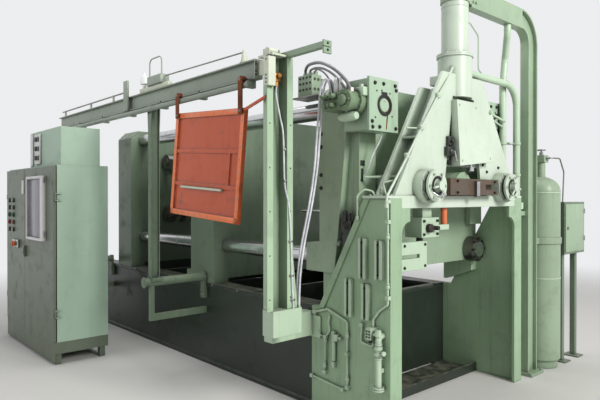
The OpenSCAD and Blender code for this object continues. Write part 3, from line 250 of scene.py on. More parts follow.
def painted(name, colour, dirt=0.4, fade=0.25, wear=0.4, rust=0.0, gloss=0.3, streaks=0.4,
            grime_and_shade_reach=0.09):
    """Old machine enamel: faded patches, run-down dirt, corner grime and painted shade, top dust, worn
    edges.
    """
    colour = srgb(*colour)
    n = Nodes(name)
    shape = n.add("NewGeometry")
    patches = n.ramp(n.noise(1.3, detail=4), 0.35, 0.68)
    base = n.mix(n.math("MULTIPLY", patches, fade * 2), colour, shade(colour, 1.2, 0.012))
    blotch = n.ramp(n.noise(5.5, detail=6, rough=0.65, offset=(3, 1, 7)), 0.5, 0.72)
    base = n.over(base, blotch, dirt, shade(colour, 0.72))
    # dirt that ran down the upright faces
    runs = n.ramp(n.noise(7, stretch=(3.2, 3.2, 0.22), detail=5, rough=0.7), 0.52, 0.7)
    base = n.over(base, runs, streaks * 0.55, shade(colour, 0.52))
    # grime and painted shade in corners and recesses, darker where the surface is hemmed in
    corner = n.add("AmbientOcclusion", {"samples": 4}, Distance=grime_and_shade_reach)
    grime_and_shade = n.math("MULTIPLY", n.ramp(corner.outputs["AO"], 0.85, 0.25), 0.5 + dirt * 0.35)
    base = n.mix(grime_and_shade, base, srgb(40, 43, 35))
    # dust that settled on top faces
    split = n.add("SeparateXYZ", Vector=shape.outputs["Normal"])
    top = n.ramp(split.outputs["Z"], 0.55, 0.95)
    dust = n.math("MULTIPLY", top, n.ramp(n.noise(9, detail=6), 0.3, 0.75))
    base = n.over(base, dust, 0.6, srgb(128, 124, 108))
    # edges worn to primer and bare metal
    soft = n.add("Bevel", {"samples": 4}, Radius=0.006)
    turn = n.add("VectorMath", {"operation": "DOT_PRODUCT"})
    n.feed(turn, 0, soft.outputs[0])
    n.feed(turn, 1, shape.outputs["Normal"])
    edge = n.ramp(turn.outputs["Value"], 0.985, 0.90)
    chipped = n.math("MULTIPLY", edge, n.ramp(n.noise(26, detail=6, rough=0.7), 0.42, 0.62))
    base = n.over(base, chipped, wear, srgb(186, 192, 178))
    specks = n.ramp(n.noise(48, detail=3, offset=(9, 2, 4)), 0.70, 0.74)
    base = n.over(base, specks, wear * 0.5, srgb(82, 78, 70))
    if rust:
        spots = n.ramp(n.noise(4.5, detail=8, rough=0.75, offset=(5, 5, 1)), 0.56, 0.70)
        base = n.over(base, spots, rust, srgb(118, 62, 36))
    sheen = n.math("ADD", gloss, n.math("MULTIPLY", blotch, 0.22))
    sheen = n.math("ADD", sheen, n.math("MULTIPLY", dust, 0.3), clamp=True)
    ripple = n.math("ADD", n.noise(160, detail=2), n.math("MULTIPLY", n.noise(11, detail=2), 1.6))
    bump = n.add("Bump", Strength=0.12, Distance=0.002, Height=ripple,
                 Normal=soft.outputs[0])
    paint = n.add("BsdfPrincipled", Base_Color=base, Roughness=sheen,
                  Normal=bump.outputs[0])
    return n.finish(paint.outputs[0])


def wear_on(material, *names):
    """Gives frame nodes their finish."""
    for name in names:
        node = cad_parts[name]
        node.data.materials.clear()
        node.data.materials.append(material)


def circle(count, radius, phase=0.0):
    """Places round a circle, as pairs of offsets from its centre."""
    angles = [math.tau * (k + phase) / count for k in range(count)]
    return [(radius * math.cos(a), radius * math.sin(a)) for a in angles]


class Build:
    """Shapes that are joined into one piece; done() makes it and starts the next piece."""

    def __init__(self):
        self.bm = bmesh.new()

    def box(self, low, high, bevel=0.0):
        low, high = Vector(low), Vector(high)
        made = bmesh.ops.create_cube(self.bm, size=1.0)["verts"]
        for v in made:
            v.co = Vector([low[i] + (v.co[i] + 0.5) * (high[i] - low[i]) for i in range(3)])
        if bevel:
            edges = {e for v in made for e in v.link_edges}
            bmesh.ops.bevel(self.bm, geom=list(edges), offset=bevel, segments=2,
                            affect="EDGES", profile=0.5)

    def skin(self, rings, ends=True):
        """Faces from each ring of points to the next, and over both ends."""
        for a, b in zip(rings, rings[1:]):
            for k in range(len(a)):
                m = (k + 1) % len(a)
                self.bm.faces.new((a[k], a[m], b[m], b[k]))
        if ends:
            self.bm.faces.new(list(reversed(rings[0])))
            self.bm.faces.new(rings[-1])

    def hoops(self, place, axis, outline, sides):
        """Rings of points round an axis: outline holds (height along axis, radius) pairs."""
        turn = Vector(axis).to_track_quat("Z", "Y").to_matrix()
        return [[self.bm.verts.new(Vector(place) + turn @ Vector((x, y, height)))
                 for x, y in circle(sides, radius)] for height, radius in outline]

    def plate(self, outline, axis, near, far):
        """A flat plate: outline points across axis 0, 1 or 2, from near to far along it."""
        def corner(p, along):
            spot = list(p)
            spot.insert(axis, along)
            return self.bm.verts.new(spot)
        self.skin([[corner(p, along) for p in outline] for along in (near, far)])

    def turned(self, place, axis, outline, sides=24):
        """A solid of revolution."""
        self.skin(self.hoops(place, axis, outline, sides))

    def rod(self, place, axis, radius, height, sides, *end):
        """A round or hexagonal bar; end holds more (height, radius) pairs for its tip."""
        self.turned(place, axis, [(0, radius), (height, radius), *end], sides)

    def band(self, place, axis, inner, outer, width, sides=32):
        """A flat ring that stands on a face."""
        section = [(0, outer), (width, outer), (width, inner), (0, inner)]
        rings = self.hoops(place, axis, section, sides)
        self.skin(rings + rings[:1], ends=False)

    def bolt(self, place, axis, size):
        """A hexagon head bolt with its washer, standing on a face."""
        self.turned(place, axis, [(0, size * 0.95), (size * 0.16, size * 0.95)], 16)
        self.turned(place, axis, [(size * 0.1, size * 0.72), (size * 0.62, size * 0.72),
                                  (size * 0.76, size * 0.6)], 6)

    def socket_bolt(self, place, axis, size):
        """A socket head screw with its recess."""
        self.turned(place, axis, [(0, size * 0.8), (size * 0.8, size * 0.8),
                                  (size * 0.9, size * 0.72), (size * 0.9, size * 0.42),
                                  (size * 0.45, size * 0.38)], 16)

    def tube(self, points, radius, sides=10):
        """A round bar bent through points."""
        points = [Vector(p) for p in points]
        turn = None
        rings = []
        for i, p in enumerate(points):
            ahead = points[min(i + 1, len(points) - 1)] - points[max(i - 1, 0)]
            if turn is None:
                turn = ahead.to_track_quat("Z", "Y")
            else:
                turn = (turn @ Vector(UP)).rotation_difference(ahead) @ turn
            rings.append([self.bm.verts.new(p + turn @ Vector((x, y, 0)))
                          for x, y in circle(sides, radius)])
        self.skin(rings)

    def bent(self, points, bend, radius):
        """A round bar with each inner corner of its path turned into an arc."""
        self.tube(rounded(points, bend), radius)

    def placed(self, matrix):
        """Moves all that was built so far by a matrix."""
        bmesh.ops.transform(self.bm, matrix=matrix, verts=self.bm.verts)

    def done(self, name, material, body="machine", smooth=35):
        bmesh.ops.recalc_face_normals(self.bm, faces=self.bm.faces)
        mesh = bpy.data.meshes.new(name)
        self.bm.to_mesh(mesh)
        self.bm.clear()
        mesh.materials.append(material)
        piece = bpy.data.objects.new(name, mesh)
        bpy.context.scene.collection.objects.link(piece)
        if smooth:
            mesh.polygons.foreach_set("use_smooth", [True] * len(mesh.polygons))
            mesh.set_sharp_from_angle(angle=math.radians(smooth))
        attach(piece, body)


def rounded(points, bend, steps=6):
    """Points with each inner corner turned into an arc of radius bend."""
    points = [Vector(p) for p in points]
    out = [points[0]]
    for before, here, after in zip(points, points[1:], points[2:]):
        a, b = (here - before).normalized(), (after - here).normalized()
        angle = a.angle(b)
        if angle < 0.02:
            out.append(here)
            continue
        reach = bend * math.tan(angle / 2)
        start = here - a * reach
        normal = (b - a * a.dot(b)).normalized()
        centre = start + normal * bend
        for k in range(steps + 1):
            t = angle * k / steps
            out.append(centre - normal * bend * math.cos(t) + a * bend * math.sin(t))
    out.append(points[-1])
    return out


def steel(name, colour, rough=0.3, rust=0.0, metallic=1.0):
    """Bare steel with fine turning marks, stains and a film of oil."""
    colour = srgb(*colour)
    n = Nodes(name)
    marks = n.noise(60, stretch=(1, 12, 12), detail=3)
    stain = n.ramp(n.noise(3.5, detail=7, rough=0.7), 0.45, 0.7)
    base = n.mix(stain, colour, shade(colour, 0.62))
    if rust:
        patch = n.ramp(n.noise(6, detail=8, rough=0.75, offset=(2, 8, 3)), 0.48, 0.64)
        base = n.over(base, patch, rust, srgb(112, 60, 36))
    shine = n.math("ADD", rough, n.math("MULTIPLY", stain, 0.2))
    bump = n.add("Bump", Strength=0.08, Distance=0.001, Height=marks)
    metal = n.add("BsdfPrincipled", Base_Color=base, Roughness=shine,
                  Metallic=metallic, Normal=bump.outputs[0])
    return n.finish(metal.outputs[0])


# The bed's paint is darker than its own tone: part of that darkness is painted shade.
bed_green = painted("bed_enamel", (30, 40, 31), dirt=0.45, wear=0.35, gloss=0.36)
wear_on(bed_green, "bed_front_beam", "bed_rear_beam", "bed_cross_members")

dull_steel = steel("bolt_steel", (150, 150, 146), 0.42, rust=0.2)
dark_steel = steel("blackened_steel", (50, 52, 48), 0.5, rust=0.1, metallic=0.6)
bed_low, bed_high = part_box("bed_front_beam")
web_face = bed_low.y + 0.015
part = Build()
for i in range(11):
    part.bolt((bed_low.x + 0.25 + 0.42 * i, bed_low.y, bed_high.z - 0.015), FRONT, 0.012)
part.done("bed_bolts", dull_steel)
for z in (0.032, bed_high.z - 0.032):
    part.tube([(bed_low.x + 0.01, web_face, z), (bed_high.x - 0.01, web_face, z)], 0.008, 8)
part.done("bed_weld_seams", bed_green)

# Platens: heavy castings in reseda green, dirtier towards the die space. Dark screws close the
# oil bores down the front face, and a small boss carries the foot's key.
reseda = painted("reseda_enamel", (140, 160, 135), dirt=0.5, wear=0.45, gloss=0.36)
old_green = painted("oily_reseda", (102, 118, 98), dirt=0.75, gloss=0.34, streaks=0.7)
wear_on(reseda, "fixed_platen", "closing_cylinder")
wear_on(old_green, "moving_platen", "end_platen")
platen_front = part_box("fixed_platen")[0].y
for z in (2.138, 2.038, 1.821, 1.72):
    part.bolt((0.02, platen_front, z), FRONT, 0.017)
part.done("platen_bore_screws", dark_steel)
COLUMN_FACE = 0.36
# Two thin dark plates on the column's face are painted shade for its square recesses.
part.box((COLUMN_FACE, -0.838, 1.882), (COLUMN_FACE + 0.003, -0.792, 1.922), 0.001)
part.box((COLUMN_FACE, -0.832, 1.765), (COLUMN_FACE + 0.002, -0.806, 1.862), 0.001)
part.done("column_recess_shade", dark_steel)
part.rod((0.18, -0.883, 1.3), RIGHT, 0.024, 0.022, 24, (0.026, 0.02))
part.band((0.206, -0.883, 1.3), RIGHT, 0.009, 0.016, 0.004)
part.done("platen_foot_boss", reseda)

# Guide rod and die-side valve block: the rod is ground and screwed into the platen's die face,
# and the block stands on an angle bracket there, with rows of tapped holes and fittings.
shiny = steel("ground_rod", (200, 200, 202), 0.14)
part.rod((0, -0.745, 1.535), LEFT, 0.022, 0.03, 6)
part.turned((0, -0.745, 1.535), LEFT, [(0.02, 0.012), (0.375, 0.012), (0.38, 0.009)])
part.done("die_guide_rod", shiny)
part.box((-0.36, -0.88, 2.455), (0, -0.7, 2.468), 0.002)
part.box((-0.012, -0.88, 2.43), (0, -0.7, 2.49), 0.002)
part.plate([(-0.2, 2.456), (-0.01, 2.456), (-0.01, 2.432)], 1, -0.8, -0.79)
part.done("valve_shelf", dull_steel)
valve_low, valve_high = Vector((-0.3, -0.87, 2.467)), Vector((-0.13, -0.76, 2.64))
part.box(valve_low, valve_high, 0.006)
for x in (-0.28, -0.22, -0.16):
    part.rod((x, -0.8, valve_high.z), UP, 0.02, 0.03, 6)
part.done("die_valve_block", reseda)
for i in range(4):
    for z in (2.52, 2.57, 2.615):
        part.band((valve_low.x + 0.03 + 0.04 * i, valve_low.y, z), FRONT, 0.005, 0.01, 0.004, 12)
for y in (-0.84, -0.8, -0.76):
    for z in (2.52, 2.6):
        part.band((valve_high.x, y, z), RIGHT, 0.006, 0.011, 0.004, 12)
part.done("die_valve_ports", dark_steel)

# Tie bars and toggle: ground and hard chromed bars with socket screws in their nuts, oily
# links and pins.
chromed = steel("chromed_bar", (206, 206, 208), 0.16)
oily_steel = steel("oily_steel", (118, 116, 112), 0.36, rust=0.2)
wear_on(chromed, "tie_bars")
wear_on(oily_steel, "tie_bar_nuts", "toggle_links", "toggle_crosshead")
nut_low, nut_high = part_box("tie_bar_nuts")
TIE_Y, TIE_LOW_Z, TIE_HIGH_Z = 0.74, 1.17, 2.35
for y in (-TIE_Y, TIE_Y):
    for dy, dz in circle(8, 0.094):
        part.socket_bolt((nut_high.x, y + dy, TIE_LOW_Z + dz), RIGHT, 0.014)
        for z in (TIE_LOW_Z, TIE_HIGH_Z):
            part.socket_bolt((nut_low.x, y + dy, z + dz), LEFT, 0.014)
part.done("tie_bar_nut_screws", dark_steel)

# Closing cylinder: cast barrel behind the end platen, its head held by a ring of nuts.
head_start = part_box("closing_cylinder")[0].x
AXIS_Z = 1.76
for dy, dz in circle(10, 0.163):
    part.bolt((head_start + 0.05, dy, AXIS_Z + dz), RIGHT, 0.018)
part.done("closing_cylinder_nuts", dull_steel)

# Side walls: flame-cut plates with welded edge strips and end flanges, bleached and streaked.
# Weld beads run up inside the end flanges and along the top edges.
wall_green = painted("wall_enamel", (145, 171, 139), dirt=0.45, wear=0.5, gloss=0.36, streaks=0.6,
                     grime_and_shade_reach=0.03)
wear_on(wall_green, "side_wall_front", "side_wall_rear", "shot_cylinder")
for side in (-1, 1):
    inner = side * 0.865
    part.tube([(0.69, inner, 0.0), (0.69, inner, 1.565)], 0.007, 8)
    part.tube([(0.477, side * 0.925, 1.632), (0.712, side * 0.925, 1.632)], 0.007, 8)
part.done("wall_weld_seams", wall_green)

# Lubricator: a small dark pump in the gap between platen and wall, on a bracket that stands
# on the wall's slanted edge.
black = painted("black_enamel", (36, 38, 35), wear=0.3)
part.plate([(0.24, 1.205), (0.36, 1.42), (0.36, 1.47), (0.24, 1.47)], 1, -0.9, -0.885)
part.box((0.245, -0.925, 1.385), (0.345, -0.885, 1.47), 0.004)
part.rod((0.275, -0.912, 1.47), UP, 0.02, 0.075, 24, (0.085, 0.012))
part.rod((0.32, -0.912, 1.47), UP, 0.014, 0.05, 12, (0.052, 0.02), (0.062, 0.02))
part.rod((0.3, -0.925, 1.43), FRONT, 0.02, 0.02, 12, (0.022, 0.012), (0.034, 0.012))
part.bent([(0.36, -0.912, 1.42), (0.385, -0.912, 1.47), (0.36, -0.912, 1.53), (0.32, -0.912, 1.53)],
          0.015, 0.005)
part.done("lubricator", black)

# Wall fittings: slotted channels and steel tubes in the wall's paint, with union nuts, a
# drain valve and a gauge valve screwed on them.
pale = painted("pale_reseda", (176, 196, 171), dirt=0.3, gloss=0.34)
wear_on(pale, "wall_channels", "drain_pipe", "small_pipes")
PIPE_Y = -0.941
for x, z in ((0.326, 0.3), (0.326, 0.62), (0.705, 1.36), (0.705, 1.02), (0.188, 0.37), (0.101, 0.545),
             (0.092, 0.35)):
    part.turned((x, PIPE_Y, z), UP, [(0, 0.012), (0.004, 0.015), (0.024, 0.015), (0.028, 0.012)], 6)
    part.rod((x, PIPE_Y, z + 0.03), UP, 0.013, 0.014, 6)
part.box((0.188, -0.965, 0.575), (0.236, -0.925, 0.625), 0.004)
part.rod((0.236, -0.945, 0.6), RIGHT, 0.01, 0.02, 8, (0.022, 0.016), (0.032, 0.016))
part.bent([(0.102, PIPE_Y, 0.585), (0.145, PIPE_Y, 0.64), (0.13, PIPE_Y, 0.7), (0.145, PIPE_Y, 0.755)],
          0.02, 0.008)
part.bent([(-0.02, PIPE_Y, 0.757), (0.0, PIPE_Y, 0.65), (0.04, PIPE_Y, 0.585), (0.075, PIPE_Y, 0.585)],
          0.04, 0.006)
part.done("pipe_unions", pale)
for x, z_low, z_high in ((0.446, 1.068, 1.357), (0.596, 1.078, 1.349), (0.309, 0.781, 1.053),
                         (0.474, 0.78, 1.035)):
    for z in (z_low + 0.03, z_high - 0.03):
        part.socket_bolt((x + 0.033, -0.951, z), FRONT, 0.01)
part.done("channel_screws", dark_steel)
DRAIN_X, DRAIN_Y = 0.647, -0.97
for dx, dy in circle(4, 0.031, 0.5):
    part.bolt((DRAIN_X + dx, DRAIN_Y + dy, 0.345), UP, 0.0065)
part.rod((DRAIN_X + 0.026, DRAIN_Y, 0.585), (1, -0.3, 0), 0.01, 0.02, 8, (0.022, 0.017), (0.034, 0.017))
part.rod((DRAIN_X, DRAIN_Y, 0.69), UP, 0.024, 0.03, 8, (0.032, 0.02), (0.045, 0.02))
for z in (0.632, 0.535):
    part.band((DRAIN_X, DRAIN_Y, z), UP, 0.018, 0.026, 0.012)
part.done("drain_pipe_fittings", pale)
for z in (0.68, 0.7, 0.72):
    for x in (0.568, 0.591):
        part.socket_bolt((x, -1.0, z), FRONT, 0.007)
part.rod((0.58, -0.975, 0.66), DOWN, 0.014, 0.022, 6)
part.done("drain_valve_screws", dark_steel)

# Portal: flanged beam and top plate between the walls, bolted down beside the legs' feet,
# with three thin tubes over its front corner.
portal_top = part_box("portal_beam")[1].z
for side in (-1, 1):
    for x in (0.505, 0.6, 0.695):
        part.bolt((x, side * 0.893, portal_top), UP, 0.013)
part.done("portal_bolts", pale)
part.bent([(0.43, -0.946, 1.49), (0.43, -0.946, 1.66), (0.475, -0.92, 1.705), (0.525, -0.885, 1.69),
           (0.53, -0.88, 1.658)], 0.03, 0.008)
part.rod((0.43, -0.946, 1.485), UP, 0.013, 0.03, 6)
part.bent([(0.6, -0.83, 1.66), (0.565, -0.83, 1.755), (0.62, -0.7, 1.775), (0.62, -0.66, 1.775)], 0.02,
          0.008)
part.tube([(0.4, -0.83, 1.797), (0.62, -0.66, 1.8)], 0.009)
part.done("portal_corner_tubes", pale)

# Tower: two channel legs with slanted webs, welded to the head. The oil return tube is clipped
# along the front leg's edge; short bolts hold the piping behind the rear leg.
bright = painted("bleached_reseda", (190, 203, 186), dirt=0.22, wear=0.35, gloss=0.34, streaks=0.25)
wear_on(bright, "portal_beam", "tower_leg_front", "tower_leg_rear", "tower_head", "accumulator_tube",
        "side_cylinder_front", "side_cylinder_rear", "valve_cover")
TOWER_FACE = 0.7
part.bent([(0.71, -0.96, 1.6), (0.712, -0.96, 1.655), (0.712, -0.8, 1.855), (0.708, -0.567, 2.15),
           (0.708, -0.387, 2.378), (0.706, -0.25, 2.53), (0.69, -0.135, 2.66)], 0.05, 0.009)
part.rod((0.71, -0.96, 1.575), UP, 0.015, 0.03, 6)
part.rod((0.672, -0.112, 2.672), (0.4, -0.9, -0.4), 0.018, 0.025, 6)
part.done("tower_edge_tube", bright)
for y, z in ((-0.567, 2.15), (-0.735, 1.938), (-0.36, 2.408)):
    part.rod((TOWER_FACE - 0.002, y - 0.012, z + 0.012), RIGHT, 0.012, 0.022, 8, (0.024, 0.008))
    part.box((TOWER_FACE, y - 0.02, z - 0.012), (TOWER_FACE + 0.019, y + 0.026, z + 0.004), 0.002)
part.tube([(0.69, -0.575, 2.15), (0.64, -0.655, 2.152)], 0.007)
part.done("tower_tube_clips", pale)
for y, z in ((0.289, 1.915), (0.351, 1.859), (0.539, 1.9)):
    part.bolt((TOWER_FACE, y, z), RIGHT, 0.014)
part.done("tower_leg_bolts", dark_steel)
part.tube([(0.69, 0.4, 2.36), (0.62, 0.8, 2.33)], 0.011)
part.tube([(0.66, 0.455, 2.33), (0.6, 0.8, 2.28)], 0.008)
part.turned((0.7, 0.405, 2.36), RIGHT, [(-0.006, 0.02), (0.006, 0.02), (0.02, 0.012)], 8)
part.done("tower_pipe_tie", pale)

# Accumulator: a forged tube in the tower's socket, held by a ring of hexagon bolts, with a
# thin gas line down its side.
TUBE_X, SOCKET_TOP = 0.62, 2.788
for dx, dy in circle(12, 0.1255, 0.25):
    part.bolt((TUBE_X + dx, dy, SOCKET_TOP), UP, 0.0115)
part.done("accumulator_ring_bolts", bright)
part.bent([(0.64, 0.1, 3.09), (0.64, 0.2, 3.08), (0.64, 0.322, 3.0), (0.64, 0.322, 2.72),
           (0.649, 0.36, 2.69)], 0.04, 0.006)
part.rod((0.64, 0.1, 3.09), (0, 1, 0), 0.012, 0.03, 6)
part.done("accumulator_gas_line", pale)

# Crosshead: a ground steel block, browned by rust, with screws in its key and its slotted end.
brown = steel("rust_brown_steel", (96, 84, 72), 0.45, rust=0.4, metallic=0.4)
wear_on(brown, "crosshead_block")
block_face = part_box("crosshead_block")[1].x
for z in (1.685, 1.772):
    for y in (0.3, -0.24):
        part.socket_bolt((0.8, y, z), RIGHT, 0.013)
part.done("crosshead_screws", dark_steel)
part.box((block_face, -0.002, 1.655), (block_face + 0.002, 0.04, 1.77), 0.001)
part.done("crosshead_key_face", shiny)

# Side cylinders: bolted flanges with a dark ring on each front disc, painted shade for the
# groove there, a thin dark band round each barrel by its flange, and a bent handle on the front one.
SIDE_Y, SIDE_Z = 0.54, 1.73
flange_bolts = Build()
dark_rings = Build()
for side in (-1, 1):
    for dy, dz in circle(8, 0.1125, 0.5):
        flange_bolts.bolt((0.78, side * SIDE_Y + dy, SIDE_Z + dz), RIGHT, 0.0115)
    for dy, dz in circle(6, 0.094):
        flange_bolts.socket_bolt((0.83, side * SIDE_Y + dy, SIDE_Z + dz), RIGHT, 0.012)
    # painted shade: the dark ring on the disc's face stands for the shade in its groove
    dark_rings.band((0.829, side * SIDE_Y, SIDE_Z), RIGHT, 0.052, 0.07, 0.006)
    dark_rings.band((0.79, side * SIDE_Y, SIDE_Z), RIGHT, 0.098, 0.1035, 0.012)
flange_bolts.done("side_cylinder_bolts", pale)
dark_rings.done("side_cylinder_dark_rings", dark_steel)
part.bent([(0.862, -0.54, 1.7), (0.895, -0.54, 1.66), (0.895, -0.625, 1.655), (0.875, -0.66, 1.68)], 0.02,
          0.008)
part.done("side_cylinder_handle", shiny)

# Valve cover: cap screws on its slanted sheet face. Beside and below it the ends of two black
# valves show, with a bright knob and a bent tube.
COVER_FACE, COVER_SLANT, COVER_LOW, COVER_HEIGHT = 0.78, 0.03, 1.888, 0.512
for y, z in ((-0.135, 1.93), (0.1, 2.36), (-0.135, 2.36), (0.28, 1.965)):
    slant = (z - COVER_LOW) / COVER_HEIGHT
    part.turned((COVER_FACE - COVER_SLANT * slant, y, z), RIGHT,
                [(0, 0.01), (0.004, 0.009), (0.006, 0.004)], 12)
part.done("valve_cover_screws", pale)
part.box((TOWER_FACE, -0.268, 1.965), (0.735, -0.175, 2.035), 0.004)
part.box((TOWER_FACE, -0.245, 2.045), (0.728, -0.178, 2.115), 0.004)
part.rod((0.735, -0.235, 1.995), RIGHT, 0.022, 0.02, 12, (0.024, 0.016))
part.rod((0.728, -0.212, 2.08), RIGHT, 0.016, 0.02, 6)
part.box((0.676, -0.2, 1.9), (0.7, 0.1, 1.935), 0.003)
part.done("cover_side_valves", black)
part.rod((0.735, 0.05, 1.915), DOWN, 0.01, 0.025, 16, (0.028, 0.024), (0.06, 0.026), (0.068, 0.018))
part.bent([(0.72, -0.19, 2.01), (0.76, -0.215, 2.0), (0.76, -0.185, 1.925)], 0.015, 0.006)
part.done("cover_knob", shiny)

# Shot valves under the portal: painted block and hanging box with cap screws, a slotted
# bracket, and an orange pipe down from the beam.
wear_on(pale, "shot_valves")
orange_pipe_paint = painted("pipe_orange", (206, 108, 62), gloss=0.42, rust=0.4)
part.rod((0.66, -0.21, 1.422), UP, 0.0245, 0.148, 24)
part.rod((0.66, -0.21, 1.418), UP, 0.03, 0.022, 12)
part.done("shot_valve_pipe_sleeve", orange_pipe_paint)
for y in (-0.525, -0.36):
    for z in (1.375, 1.473):
        part.socket_bolt((0.7, y, z), RIGHT, 0.013)
for y in (-0.77, -0.53):
    for z in (1.15, 1.305):
        part.bolt((0.715, y, z), RIGHT, 0.012)
part.rod((0.7, -0.47, 1.42), RIGHT, 0.032, 0.03, 16, (0.034, 0.024))
part.rod((0.7, -0.4, 1.42), RIGHT, 0.018, 0.045, 6)
part.rod((0.6, -0.44, 1.351), DOWN, 0.026, 0.05, 16, (0.055, 0.018))
part.done("shot_valve_screws", dark_steel)

# Gooseneck and pressure pipes: bent and welded section in reseda green; the pipes are joined
# by weld rings and held by split clamps.
neck_green = painted("neck_enamel", (146, 168, 140), wear=0.45, gloss=0.34)
wear_on(neck_green, "gooseneck_post")
wear_on(pale, "pressure_pipes")
PIPES, CLAMP_LEVELS = ((0.585, 0.828), (0.649, 0.96)), (2.125, 1.84)
for x, y in PIPES:
    for z in CLAMP_LEVELS:
        part.band((x, y, z), UP, 0.028, 0.038, 0.022)
for z in CLAMP_LEVELS:
    part.box((0.59, 0.85, z + 0.003), (0.645, 0.935, z + 0.019), 0.002)
part.done("pressure_pipe_clamps", pale)
for z in (3.225, 3.31):
    for y in (0.085, 0.125):
        part.bolt((0.705, y + 0.05, z), RIGHT, 0.014)
for dy in (-0.015, 0.195):
    for dx in (-0.07, 0.07):
        part.bolt((0.665 + dx, 1.08 + dy, 0.025), UP, 0.014)
part.done("gooseneck_bolts", neck_green)

# Gas bottle and panel: drawn steel bottle with weld rings and its valve, and a sheet steel
# box on legs with a hinged lid.
wear_on(reseda, "gas_bottle")
# The gas panel wears the darker oily green as painted shade: its own paint is lighter.
wear_on(old_green, "gas_panel")
BOTTLE = (0.62, 1.52)
for z in (0.86, 1.685):
    part.band((*BOTTLE, z), UP, 0.17, 0.178, 0.012, 48)
part.done("gas_bottle_weld", pale)
part.rod((*BOTTLE, 2.06), UP, 0.02, 0.03, 8, (0.032, 0.008), (0.055, 0.008))
part.band((*BOTTLE, 2.105), UP, 0.03, 0.04, 0.012)
part.box((0.584, 1.515, 2.106), (0.656, 1.525, 2.114))
part.bent([(0.67, 1.52, 2.03), (0.72, 1.52, 2.03), (0.74, 1.66, 2.03), (0.72, 1.8, 1.9),
           (0.7, 1.82, 1.6)], 0.05, 0.007)
part.rod((0.67, 1.52, 2.03), RIGHT, 0.014, 0.03, 6)
part.done("gas_bottle_valve", dull_steel)
panel_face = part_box("gas_panel")[1].x
PANEL_FOOT = 1.08
part.box((panel_face, 1.725, PANEL_FOOT + 0.02), (panel_face + 0.006, 2.155, 1.58), 0.002)
part.done("gas_panel_lid", neck_green)
for z in (1.2, 1.48):
    part.rod((panel_face + 0.006, 2.165, z), UP, 0.007, 0.05, 10)
part.rod((panel_face + 0.006, 1.76, 1.34), RIGHT, 0.014, 0.012, 12)
part.done("gas_panel_latch", dull_steel)


# Tie bar pullers: box housings on the platen's upper corners, each with a bolted end plate,
# a round plug in a dark ring that is painted shade of its hole, and a lifting slot drawn as
# a dark plate of painted shade. A drip line hangs from the front one.
def swept(points, steps=6):
    """A smooth path through points, for pipes and cables that bend all along."""
    points = [Vector(p) for p in points]
    ends = [points[0] * 2 - points[1]] + points + [points[-1] * 2 - points[-2]]
    out = []
    for p0, p1, p2, p3 in zip(ends, ends[1:], ends[2:], ends[3:]):
        for k in range(steps):
            t = k / steps
            out.append(0.5 * (2 * p1 + (p2 - p0) * t + (2 * p0 - 5 * p1 + 4 * p2 - p3) * t * t
                              + (3 * p1 - p0 - 3 * p2 + p3) * t * t * t))
    out.append(points[-1])
    return out


housing_green = painted("housing_enamel", (156, 178, 154), dirt=0.35, wear=0.5, rust=0.15, gloss=0.34)
wear_on(housing_green, "tie_bar_pullers")
PULLER_X, PULLER_Y, PLUG_Z = 0.55, 0.79, 2.31
end_screws = Build()
plug_hole_shade = Build()
plugs = Build()
for side in (-1, 1):
    for dy, z in ((-0.105, 2.459), (-0.012, 2.462), (0.118, 2.462), (-0.13, 2.145), (-0.055, 2.15),
                  (0.125, 2.15), (0.13, 2.43), (-0.135, 2.185)):
        end_screws.bolt((PULLER_X, side * PULLER_Y + dy, z), RIGHT, 0.0155)
    for dy, z in ((-0.085, 2.405), (-0.03, 2.412), (0.06, 2.4), (-0.1, 2.215), (0.085, 2.235)):
        end_screws.rod((PULLER_X, side * PULLER_Y + dy, z), RIGHT, 0.007, 0.002, 10)
    # painted shade: the dark ring round the plug and the dark plate in the lifting slot
    plug_hole_shade.band((PULLER_X, side * PULLER_Y, PLUG_Z), RIGHT, 0.06, 0.078, 0.006, 40)
    plug_hole_shade.box((PULLER_X, side * PULLER_Y - 0.035, 2.386),
                   (PULLER_X + 0.003, side * PULLER_Y + 0.03, 2.404), 0.001)
    plugs.rod((PULLER_X - 0.015, side * PULLER_Y, PLUG_Z), RIGHT, 0.052, 0.012, 32, (0.018, 0.046))
    plugs.turned((PULLER_X, side * PULLER_Y, 2.345), RIGHT, [(0, 0.014), (0.006, 0.012)], 12)
end_screws.done("puller_screws", dark_steel)
plug_hole_shade.done("puller_plug_hole_shade", dark_steel)
plugs.done("puller_plugs", housing_green)
rust_run = steel("rust_run", (140, 92, 66), 0.7, rust=0.9)
part.plate([(-0.748, 2.35), (-0.735, 2.345), (-0.752, 2.225), (-0.766, 2.135), (-0.776, 2.14),
            (-0.764, 2.24)], 0, PULLER_X, PULLER_X + 0.0012)
part.done("puller_rust_run", rust_run, smooth=0)
part.tube(swept([(0.5, -0.755, 2.13), (0.49, -0.765, 2.07), (0.44, -0.79, 1.96), (0.4, -0.8, 1.86),
                 (0.372, -0.8, 1.83)]), 0.0055)
part.done("puller_drip_line", rubber)

